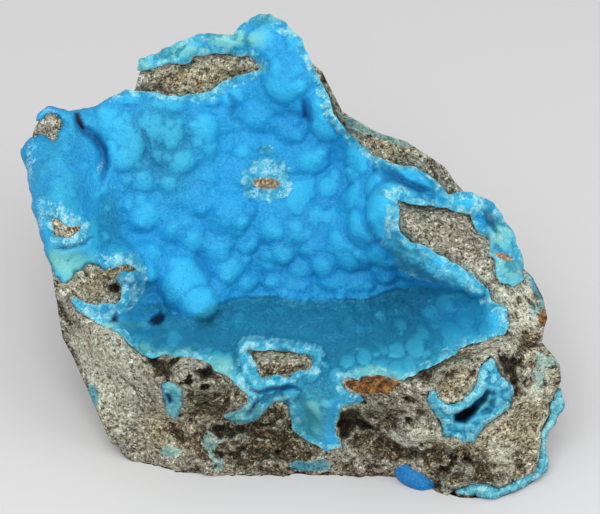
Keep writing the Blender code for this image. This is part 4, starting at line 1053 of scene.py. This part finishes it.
def rock_finish(name):
    """Granular matrix: pale grains and dark specks, browner or yellower by place, with painted shade in the
    hollows, in the lows and partly between the grains, and painted light on the rises.
    """
    finish = Finish(name)
    brown, yellow, pale, hollow = finish.marks("brown", "yellow", "pale", "hollow")
    rust, film, deep, shaded_relief = finish.marks("rust", "film", "deep", "shaded_relief")
    cloud = finish.noise(7.0, 3.0)
    blotch = finish.noise(1.6, 3.0)
    fine = finish.noise(0.6, 3.0, 0.65)
    grains = finish.cells(0.36, "Color")
    tone = finish.channel(grains, "Green")
    value = 0.64 * finish.channel(grains, "Red") + 0.36 * finish.channel(finish.cells(0.85, "Color"), "Red")
    finish.colour = finish.ramp(value, GREY_ROCK)
    dark = finish.ramp(value, DARK_ROCK)
    sugar = finish.ramp(value, SUGAR_ROCK)
    finish.cover(finish.step(yellow + 0.5 * (cloud - 0.5), 0.2, 0.8), finish.ramp(value, WARM_ROCK))
    finish.cover(finish.step(brown + 0.7 * (cloud - 0.5) + 0.4 * (blotch - 0.5), 0.2, 0.75), dark)
    finish.cover(finish.step(pale + 0.6 * (blotch - 0.5), 0.2, 0.8) * 0.9, sugar)
    stain = finish.step(finish.noise(9.0, 4.0, 0.6), 0.58, 0.76)
    finish.cover(0.4 * stain, (112, 92, 58))
    covered = finish.step(film + 0.9 * (blotch - 0.5) + 0.6 * (value - 0.5), 0.35, 0.7) * 0.75
    coat = finish.ramp(blotch + 0.3 * (value - 0.5), TEAL_FILM)
    finish.cover(covered + 0.15 * deep, finish.mixed(deep * 0.85, coat, screen(34, 128, 152)))
    # Painted shade in the rock's lows and painted highlight on its rises
    finish.cover(finish.step(0 - shaded_relief + 0.9 * (fine - 0.5), 0.3, 0.8) * 0.85, dark)
    finish.cover(finish.step(shaded_relief + 0.6 * (tone - 0.5), 0.2, 1.0) * 0.4, sugar)
    # Painted shade in the hollows, caves, creases and the sides' pits
    finish.cover(finish.step(hollow + 0.5 * (blotch - 0.5), 0.15, 0.6), dark)
    finish.cover(finish.step(hollow + 0.4 * (blotch - 0.5), 0.35, 0.9) * 0.75, (24, 19, 13))
    # Dark gaps between the grains: part the rock's dark grains, part painted shade
    gaps = finish.step(finish.noise(0.8, 3.0, 0.7), 0.56, 0.68)
    finish.cover(gaps * 0.5, (46, 40, 30))
    rusty = finish.step(rust + 0.5 * (blotch - 0.5) + 0.5 * (tone - 0.5), 0.4, 0.6)
    finish.cover(rusty, finish.ramp(blotch + 0.5 * (value - 0.5), RUST))
    rise = 0.5 * (1 - finish.cells(0.36)) + 0.6 * finish.noise(0.9, 4.0, 0.65) - 0.5 * gaps
    return finish.shade(Roughness=0.88, Normal=finish.bumped(rise, 0.6, 0.9), Specular_IOR_Level=0.3)


def plain_finish(name, colour, roughness):
    """One colour that is slightly darker in broad, faint clouds."""
    finish = Finish(name)
    darker = tuple(0.92 * part for part in colour)
    finish.colour = finish.mixed(finish.noise(60.0, 2.0) * 0.15, colour, darker)
    return finish.shade(Roughness=roughness, Specular_IOR_Level=0.2)


def rolled_edge(points, which):
    """1 where the outer edge rolls over unbroken, at the left ledge, and 0 where the edge is broken."""
    left = eased(-points[:, 0], 34, 40) * eased(points[:, 1], -8, -2)
    return left * (which == 0)


def crust_shape(points, gap, which):
    """The main crust's height: lobes, then small lobes and beads, with broken or rolled edges."""
    height = lobed_height(points)
    lobes = scattered_lobes(points.min(0), points.max(0), *SUB_LOBES)
    lobes[inside_of(lobes[:, :2], FLOOR_REGION) > 0, 2] *= FLOOR_SUB_SHARE
    for p, q, _, radius in FREE_BALLS:
        lobes = lobes[np.hypot(lobes[:, 0] - p, lobes[:, 1] - q) > radius + FREE_BALL_CLEARANCE]
    centres, radii = lobe_centres(lobes, lobed_height, SUB_LOBE_SINK)
    warp = push("small lobes", beside(points))
    height = domed(points + 0.25 * warp, height, centres, radii, SUB_LOBE_EASE)
    place = beside(points, height)
    height += BEAD_HEIGHT * (0.6 - cell_pattern(place, *BEADS)[0])
    height += FINE_HEIGHT * noise("fine crust", place)
    ledge = eased(-points[:, 0], 38, 42) * eased(points[:, 1], -2, 2)
    height += LEDGE_SWELL * ledge * noise("ledge", place)
    height -= creased(points + 0.4 * warp, CRUST_CREASES)
    height -= VUG_HOLE_DEPTH * outlined(points, [VUG_HOLE], 0.4)
    height += PLATE_RISE * outlined(points, [AZURE_PLATE])
    rolled = rolled_edge(points, which)
    inward = np.clip(ROLL_RADIUS - gap, 0, ROLL_RADIUS)
    roll_drop = ROLL_RADIUS - np.sqrt(ROLL_RADIUS ** 2 - inward ** 2)
    height -= rolled * roll_drop * 0.8
    drop = SECTION_DROP * np.clip(1 - gap / SECTION_WIDTH, 0, 1) ** 1.4
    height -= (1 - rolled) * drop * steepness(points)
    broken = (1 - rolled) * np.clip(1.2 - gap / SECTION_WIDTH, 0, 1)
    height += broken * CHIP_HEIGHT * cell_pattern(place, *CHIPS)[1]
    return height


def broken_balls(points, section, along, across):
    """Round the balls that broke open, fibres run outwards from the middle, and the break is pale."""
    for p, q, radius in BROKEN_BALLS:
        offset = points - (p, q)
        away = np.linalg.norm(offset, axis=1)
        inside = away < radius
        pale = np.maximum(section, np.clip(1.9 - 1.2 * away / radius, 0, 1))
        section = np.where(inside, pale, section)
        along = np.where(inside, 2.2 * np.arctan2(offset[:, 1], offset[:, 0]), along)
        across = np.where(inside, away, across)
    return section, along, across


def crust_marks(points, height, smoothed, near, gap, run, which):
    """The crust's colour marks: height above the surroundings, which paints light on the crests and shade in
    the creases, section near a broken edge, the pools, and painted shade in holes and grooves.
    """
    flat = beside(points)
    warp = push("pools", flat)
    moved = points + 1.2 * warp
    frost = pooled(points + 0.6 * warp, FROST)
    width = SECTION_WIDTH * (0.62 + 0.35 * noise("section", flat) + 0.5 * frost)
    section = np.clip(1.25 - gap / np.maximum(width, 0.5), 0, 1) * (1 - 0.85 * rolled_edge(points, which))
    torn = points + 0.7 * push("torn", flat)
    section, along, across = broken_balls(torn, section, run + 37.0 * which, gap)
    section = np.maximum(section, 0.75 * eased(inside_of(points, COLUMN_OUTER), -0.3, 0.4))
    section = np.maximum(section, 0.8 * outlined(points + 0.5 * warp, SECTION_PLACES, 0.5))
    plate = outlined(points, [AZURE_PLATE])
    floor = eased(inside_of(points, FLOOR_REGION), -0.5, 0.7)
    # Lighter tops of the floor's rounds: part their paler colour, part painted light, stronger towards the
    # right
    disc_tone_and_light = np.zeros(len(points))
    for p, q, radius in FLOOR_LOBES:
        away = np.linalg.norm(points + 0.2 * warp - (p, q), axis=1) / radius
        disc_tone_and_light = np.maximum(disc_tone_and_light, 1 - eased(away, 0.6, 1.12))
    # Lobe tops lighter and valleys darker: part the crust's deeper colour in the valleys, part painted light
    # and painted shade
    crest_tone_and_light = np.clip((height - smoothed) / 1.2, -1, 1) * (1 - 0.5 * floor)
    crest_tone_and_light += disc_tone_and_light * (0.35 + 0.75 * eased(points[:, 0], 22, 28))
    # Painted shade in the narrow creases and a little painted light on small rises
    crest_tone_and_light += (0.6 - 0.3 * floor) * np.clip((height - near) / CREASE_DEPTH, -1, 0.4)
    # Pools of painted light and painted shade on the crust
    crest_tone_and_light += 0.75 * pooled(moved, PAINTED_LIGHT_POOLS) - 0.7 * pooled(moved, PAINTED_SHADE_POOLS)
    core = np.maximum(pooled(points + 0.3 * warp, CORE_POOLS), outlined(points + 0.4 * warp, [SLIVER]))
    groove = np.minimum(creased(points + 0.3 * warp, CRUST_CREASES) / 2, 1)
    # Painted shade: dark in the hole, the deep gaps, the creases and the groove
    dark = np.maximum.reduce([0.8 * outlined(points + 0.3 * warp, [VUG_HOLE], 0.4),
                              0.9 * outlined(points, SHADE_PLACES, 0.5), 0.5 * groove,
                              0.35 * outlined(points + 0.2 * warp, [SHADED_GROOVE])])
    return {"crest_tone_and_light": np.maximum(crest_tone_and_light, plate), "section": section * (1 - plate), "along": along,
            "across": across, "teal": np.maximum(floor, 0.8 * pooled(moved, WALL_TEAL)),
            "cyan": pooled(moved, LEDGE_CYAN), "green": pooled(moved, CRUST_GREEN), "core": core,
            "dark": dark, "frost": frost, "chip": cell_pattern(beside(points, height), *CHIPS)[1]}


def vug_crust(material):
    """The main lining, as a closed sheet on the face with a hole round each island of bare rock."""
    outline = wavy(CRUST_OUTLINE, 0.35, 31)
    holes = [wavy(island, 0.4, 41 + index) for index, island in enumerate(ISLANDS)]
    points, quads = grid_in(outline, holes, CRUST_CELL)
    gap, _, run, which = sheet_gap(points, outline, holes)
    gap = np.maximum(gap, 0)
    height = crust_shape(points, gap, which)
    smoothed, near = [spread_out(height, quads, rounds) for rounds in (CREST_ROUNDS, CREASE_ROUNDS)]
    bottom = np.minimum(face_height(points) - CRUST * steepness(points), height - LEAST_CRUST)
    marks = crust_marks(points, height, smoothed, near, gap, run, which)
    piece = make_sheet("vug_lining", points, height, bottom, quads, material, marks)
    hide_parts("vug_crust")
    return outline, holes


def ring_at(angles, outline, middle):
    """Where rays from the middle, one for each angle, meet an outline."""
    ring = np.array(outline, float) - middle
    bearing = np.unwrap(np.arctan2(ring[:, 1], ring[:, 0]))
    order = np.argsort(bearing)
    bearing, ring = bearing[order], ring[order]
    turn = 2 * math.pi
    bearing = np.concatenate([bearing - turn, bearing, bearing + turn])
    first = bearing[len(bearing) // 3]
    wanted = (angles - first) % turn + first
    return np.column_stack([np.interp(wanted, bearing, np.tile(column, 3)) for column in ring.T]) + middle


def egg_offset(points, centre, half_sizes, turn):
    """How far each point is from an egg's middle, as a share of its half-widths."""
    angle = math.radians(turn)
    offset = points - centre
    along = (offset[:, 0] * math.cos(angle) + offset[:, 1] * math.sin(angle)) / half_sizes[0]
    across = (-offset[:, 0] * math.sin(angle) + offset[:, 1] * math.cos(angle)) / half_sizes[1]
    return along ** 2 + across ** 2


def hollowed(points, height, warp):
    """The rock's height with its dishes and cavities sunk, and how deep in a cavity each point is, which is
    painted as shade.
    """
    for place, half, turn in ROCK_DISHES:
        offset = egg_offset(points + 0.8 * warp, place, half[:2], turn)
        height = height - half[2] * np.sqrt(np.maximum(1 - offset, 0))
    hollow = np.zeros(len(points))
    for outline, depth in ROCK_CAVITIES:
        sunk = eased(inside_of(points + 0.75 * warp, outline), *CAVITY_EDGE)
        height = height - sunk * depth
        hollow = np.maximum(hollow, sunk * min(1.0, depth / FULL_SHADE_DEPTH))
    return height, hollow


def rock_height(points, outline, holes):
    """The rock's height over the face, and how hollow it is, which is painted as shade: rough, pitted, sunk
    under the crust.
    """
    base = face_height(points)
    place = beside(points, base)
    under, _, _, which = sheet_gap(points, outline, holes)
    island = which > 0
    height = base + np.where(island, 0.25, WALL_ROUGHNESS) * noise("rough rock", place)
    crevice = np.exp(-(np.minimum(under, 0) / 0.9) ** 2)
    height -= crevice + eased(under, 0.0, 0.8) * (2.4 * steepness(points) + creased(points, CRUST_CREASES))
    centre, half = ROUND_LUMP
    offset = egg_offset(points, centre[:2], half[:2], 0)
    over = centre[2] + half[2] * np.sqrt(np.maximum(1 - offset, 0))
    height = np.where(offset < 1, soft_max(height, over, 1.2), height)
    warp = push("rock push", place)
    height, hollow = hollowed(points, height, warp)
    bare = 1 - eased(under, -0.1, 0.3)
    smooth = outlined(points + 0.4 * warp, SMOOTH_FILMS)
    calm = np.maximum(np.where(island, 0.65, 0), 0.75 * pooled(points, CALM_ROCK))
    craggy = bare * (1 - 0.8 * smooth) * (0.6 + 1.1 * pooled(points, ROCK_CRAGS)) * (1 - calm)
    height += 0.7 * smooth * bare
    moved = place + 0.6 * beside(warp, hollow)
    cut = bare * creased(points + 0.6 * warp, ROCK_CREASES)
    height += craggy * (1.1 * noise("crags", moved) + 0.5 * np.abs(noise("ridges", moved))) - cut
    caves = craggy * eased(noise("caves", moved), 0.45, 0.8)
    height -= 1.5 * caves
    # Caves and creases get painted shade too
    hollow = np.maximum(hollow, np.maximum(0.3 * cut, 0.65 * caves))
    height -= bare * 0.24 * cell_pattern(place, *ROCK_GRAINS)[0]
    for seat, depth in POCKET_SEATS:
        height -= eased(inside_of(points, seat), 0.0, 0.6) * depth
    return height, hollow


def broken_off(points, share):
    """Points beyond a flat break are pressed back onto it, fully once they are well past the face's edge."""
    onset = min(1.0, BREAK_ONSET * share)
    for (turn, tilt), distance in BREAKS:
        turn, tilt = math.radians(turn), math.radians(tilt)
        facing = np.array((math.cos(turn) * math.cos(tilt), math.sin(turn) * math.cos(tilt), math.sin(tilt)))
        excess = np.maximum(points @ facing - distance, 0)
        points = points - onset * excess[:, None] * facing
    return points


def side_pits(points):
    """How deep each point is in one of the pits of the rock's sides."""
    return np.clip(PIT_SHARE - cell_pattern(points, *PIT_CELLS)[0], 0, 1)


def rock_sides(angles, rim):
    """Rings from the face's edge to the rest plane, each column a bowed line, rough like a break."""
    top = face_to_table(rim)
    foot = beside(ring_at(angles, REST_OUTLINE, np.zeros(2)), -FACE_MIDDLE[2] - REST_DEPTH)
    outward = beside(np.column_stack([np.cos(angles), np.sin(angles)]))
    back = np.clip(np.sin(angles), 0, 1)
    bulge = SIDE_BULGE + (BACK_BULGE - SIDE_BULGE) * back
    tall = np.clip((top[:, 2] - foot[:, 2]) / TALL_SIDE, 0.05, 1)
    knee = (top + foot) / 2 + outward * (2 * bulge * tall)[:, None]
    rows = []
    for share in np.linspace(0, 1, SIDE_ROWS + 1)[1:]:
        bowed = (1 - share) ** 2 * top + 2 * share * (1 - share) * knee + share ** 2 * foot
        line = broken_off(bowed, share)
        fade = 4 * share * (1 - share) * tall
        rough = noise("broad side", line) + 0.5 * noise("rough side", line)
        line = line + outward * (SIDE_ROUGHNESS * fade * rough)[:, None]
        detail = 0.45 * noise("side detail", line) - PIT_DEPTH * side_pits(line)
        line = line + outward * (detail * min(1.0, 6 * share))[:, None]
        rows.append(table_to_face(line))
    return rows


def rock_marks(points, height, hollow, quads, sides):
    """The rock's colour marks: over the face, then down its sides."""
    warp = push("patches", beside(points, height))
    moved = points + 1.1 * warp
    near = points + 0.45 * warp
    pale = np.maximum(pooled(moved, ROCK_PALE), ASH * pooled(moved, ROCK_ASH))
    face_marks = {
        # The hollow mark is painted shade
        "hollow": hollow, "brown": pooled(moved, ROCK_BROWN),
        # Painted shade and painted light from the rock's lumps and lows
        "shaded_relief": np.clip((height - spread_out(height, quads, RELIEF_ROUNDS)) / 0.7, -1, 1),
        "yellow": 0.8 * pooled(moved, ROCK_YELLOW) - 0.6 * pooled(moved, ROCK_GREY),
        "rust": np.maximum(outlined(near, ROCK_RUSTS), FAINT_RUST * outlined(near, FAINT_RUSTS, 1.0)),
        "film": outlined(near, ROCK_FILMS), "deep": outlined(near, DEEP_FILMS, 0.6),
        "pale": np.maximum(pale, outlined(points + 0.3 * warp, [LUMP_RIM], 0.5))}
    # Painted shade in the sides' pits
    side_marks = {"hollow": 0.8 * (side_pits(sides) / PIT_SHARE),
                  "brown": 0.8 * np.clip(0.1 + 1.3 * noise("dull side", sides), 0, 1),
                  "yellow": 0.3 + 0.8 * noise("tan side", sides)}
    blank = np.zeros(len(sides))
    return {label: np.append(values, side_marks.get(label, blank)) for label, values in face_marks.items()}


def band_shell(line, half_width, lift, seed):
    """A rounded band along a line on the face: a circle of uneven radius carried along it, with thin ends."""
    middle, share = resampled(np.array(line, float), lambda length: max(int(length / SPLINTER_STEP), 10))
    for _ in range(8):
        middle[1:-1] = (middle[:-2] + 2 * middle[1:-1] + middle[2:]) / 4
    ahead = np.gradient(middle, axis=0)
    side = np.column_stack([-ahead[:, 1], ahead[:, 0]]) / np.linalg.norm(ahead, axis=1, keepdims=True)
    radius = half_width * np.sqrt(np.clip(5 * np.minimum(share, 1 - share), 0.03, 1))
    radius *= 1 + 0.3 * layered_noise(beside(middle), 1.6, seed)
    turns = np.linspace(0, 2 * math.pi, 16, endpoint=False)
    out = beside(side)[:, None] * np.cos(turns)[None, :, None]
    out = out + np.array((0.0, 0.0, 0.75)) * np.sin(turns)[None, :, None]
    axis = beside(middle, face_height(middle) + lift)
    points = (axis[:, None] + radius[:, None, None] * out).reshape(-1, 3)
    points[:, 2] += 0.12 * layered_noise(points, 0.9, seed + 3)
    quads, first, last = tube_quads(len(middle), len(turns))
    return points, quads[:, [0, 3, 2, 1]].tolist() + [first[::-1], last]


def rock_body(outline, holes, material):
    """The matrix: rings over the face and down the sides, closed underneath, and the splinters on it."""
    angles = np.linspace(0, 2 * math.pi, ROCK_COLUMNS, endpoint=False)
    edge = ring_at(angles, ROCK_OUTLINE, MIDDLE_OF_FACE)
    hidden = np.linspace(0.02, HIDDEN_SHARE, HIDDEN_ROWS, endpoint=False)
    shares = np.concatenate([hidden, np.linspace(HIDDEN_SHARE, 1, FRONT_ROWS)])
    face_points = (MIDDLE_OF_FACE + (edge - MIDDLE_OF_FACE)[None] * shares[:, None, None]).reshape(-1, 2)
    height, hollow = rock_height(face_points, outline, holes)
    front = beside(face_points, height)
    sides = np.concatenate(rock_sides(angles, front[-ROCK_COLUMNS:]))
    quads, first, last = tube_quads(len(shares) + SIDE_ROWS, ROCK_COLUMNS)
    faces = quads.tolist() + [first, last[::-1]]
    front_quads = quads[:(len(shares) - 1) * ROCK_COLUMNS]
    marks = rock_marks(face_points, height, hollow, front_quads, face_to_table(sides))
    points = np.concatenate([front, sides])
    for number, (line, half_width, lift) in enumerate(SPLINTERS):
        band, band_faces = band_shell(line, half_width, lift, SPLINTER_SEED + number)
        faces += [[corner + len(points) for corner in face] for face in band_faces]
        points = np.concatenate([points, band])
        marks = {label: np.append(values, np.full(len(band), SPLINTER_MARKS.get(label, 0.0)))
                 for label, values in marks.items()}
    piece = make_piece("rock", points, faces, material, marks)
    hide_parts("matrix_rock")


def pocket_crust(name, node, slot, outline, depth, lumps, green, hollows, shade_outlines, material):
    """A small crust let into the rock: a lumpy sheet, flush with the face, with hollows sunk into it."""
    ring = wavy(outline, 0.25, 57)
    points, quads = grid_in(ring, [], SMALL_CELL)
    gap, _, run = ring_gap(points, ring)
    gap = np.maximum(gap, 0)
    base = RELIEF.height(points)
    place = beside(points, base)
    height = base + POCKET_LIFT + 0.25 * noise("pocket", place) - 0.9 * np.clip(1 - gap, 0, 1) ** 1.5
    distance, chip = cell_pattern(place, *POCKET_LUMPS)
    height += lumps * (0.7 - distance) + 0.3 * chip * lumps
    shade = np.zeros(len(points))
    for hollow, hollow_depth in hollows:
        sunk = eased(inside_of(points, wavy(hollow, 0.4, 67, 0.4)), -0.15, 1.2)
        height -= sunk * hollow_depth
        shade = np.maximum(shade, sunk)
    smoothed = spread_out(height, quads, RELIEF_ROUNDS)
    # Deeper in the hollows the crust turns teal with fewer pale crystals, part its own colour and part
    # painted shade; the shade outlines are painted black as shade
    marks = {"crest_tone_and_light": np.clip((height - smoothed) / 0.6, -1, 1),
             "section": 0.25 + 0.7 * np.clip(1.2 - gap / POCKET_EDGE, 0, 1) - 0.45 * shade, "along": run,
             "across": gap + 0.6, "teal": np.maximum(shade, 0.5), "cyan": 1 - shade, "core": 0 * gap,
             "green": green + 0 * gap, "dark": 0.95 * outlined(points, shade_outlines, 0.8), "chip": chip,
             "frost": 0.9 * np.clip(1.5 - gap / POCKET_EDGE, 0, 1)}
    bottom = np.minimum(base - depth, height - 0.6)
    piece = make_sheet(name, points, height, bottom, quads, material, marks)
    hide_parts(node)


def ball_growth(material):
    """The round blue growth under the front edge: a half-circle turned into an egg, slightly uneven."""
    turns = np.linspace(0, 2 * math.pi, BALL_COLUMNS, endpoint=False)
    tilts = np.linspace(0, math.pi, BALL_ROWS)[1:-1, None]
    round_it = [np.sin(tilts) * np.cos(turns), np.sin(tilts) * np.sin(turns), np.cos(tilts) + 0 * turns]
    unit = np.vstack([np.stack(round_it, -1).reshape(-1, 3), (0, 0, 1), (0, 0, -1)])
    swell = 1 + 0.03 * noise("ball", unit * 3)
    egg = unit * BALL_HALF_SIZES * swell[:, None]
    angle = math.radians(BALL_TURN)
    spun = np.column_stack([egg[:, 0] * math.cos(angle) - egg[:, 1] * math.sin(angle),
                            egg[:, 0] * math.sin(angle) + egg[:, 1] * math.cos(angle), egg[:, 2]])
    quads, first, last = tube_quads(len(tilts), len(turns))
    top, low = len(unit) - 2, len(unit) - 1
    caps = [[top, i, j] for i, j in zip(first, first[1:] + first[:1])]
    caps += [[low, j, i] for i, j in zip(last, last[1:] + last[:1])]
    marks = {label: np.full(len(unit), BALL_MARKS.get(label, 0.0)) for label in CRUST_MARKS}
    piece = make_piece("base_growth", BALL_MIDDLE + spun, quads.tolist() + caps, material, marks)
    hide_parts("base_crust")


def floor_and_light():
    """A pale floor that curves up behind, two soft lamps and an even pale sky."""
    bend = np.linspace(0, math.pi / 2, 12)
    run = np.concatenate([np.linspace(STAGE_FRONT, STAGE_BEND, 30), STAGE_BEND + STAGE_RADIUS * np.sin(bend),
                          [STAGE_BEND + STAGE_RADIUS]])
    rise = np.concatenate([np.zeros(30), STAGE_RADIUS - STAGE_RADIUS * np.cos(bend), [STAGE_TOP]])
    across = np.linspace(-STAGE_HALF, STAGE_HALF, 9)
    points = np.stack(np.broadcast_arrays(across, run[:, None], rise[:, None]), -1).reshape(-1, 3) * MM
    quads = grid_quads(np.arange(len(points)).reshape(len(run), len(across)))[:, [0, 3, 2, 1]]
    floor = add_mesh("floor", points, quads.tolist(), plain_finish("pale floor", screen(*FLOOR_GREY), 0.7))
    for name, place, size, power in LAMPS:
        lamp(name, place, size, power)
    world = bpy.data.worlds.new("studio")
    world.use_nodes = True
    sky = world.node_tree.nodes["Background"].inputs
    sky["Color"].default_value = SKY
    sky["Strength"].default_value = SKY_STRENGTH
    bpy.context.scene.world = world


def lamp(name, place, size, power):
    """A round lamp that looks at the specimen's middle."""
    light = bpy.data.lights.new(name, "AREA")
    light.shape = "DISK"
    light.size = size * MM
    light.energy = power
    thing = bpy.data.objects.new(name, light)
    thing.location = Vector(place) * MM
    thing.rotation_euler = (Vector(LAMP_TARGET) - Vector(place)).to_track_quat("-Z", "Y").to_euler()
    bpy.context.scene.collection.objects.link(thing)


def camera():
    """A camera straight out from the face's middle, with the face's own up."""
    data = bpy.data.cameras.new("camera")
    data.sensor_width = SENSOR
    data.lens = SENSOR * CAMERA_DISTANCE / VIEW_WIDTH
    data.clip_start, data.clip_end = 0.01, 10.0
    thing = bpy.data.objects.new("camera", data)
    right, up, out = face_to_table(np.eye(3))
    place = (FACE_MIDDLE + CAMERA_DISTANCE * out) * MM
    turn = Matrix((right, up, out)).transposed()
    thing.matrix_world = Matrix.Translation(place) @ turn.to_4x4()
    bpy.context.scene.collection.objects.link(thing)
    bpy.context.scene.camera = thing


blue = crust_finish("blue_crust")
matrix = rock_finish("matrix")
crust_ring, crust_holes = vug_crust(blue)
rock_body(crust_ring, crust_holes, matrix)
for pocket in POCKETS:
    pocket_crust(*pocket, blue)
ball_growth(blue)
floor_and_light()
camera()
bpy.context.scene.view_settings.view_transform = "Standard"
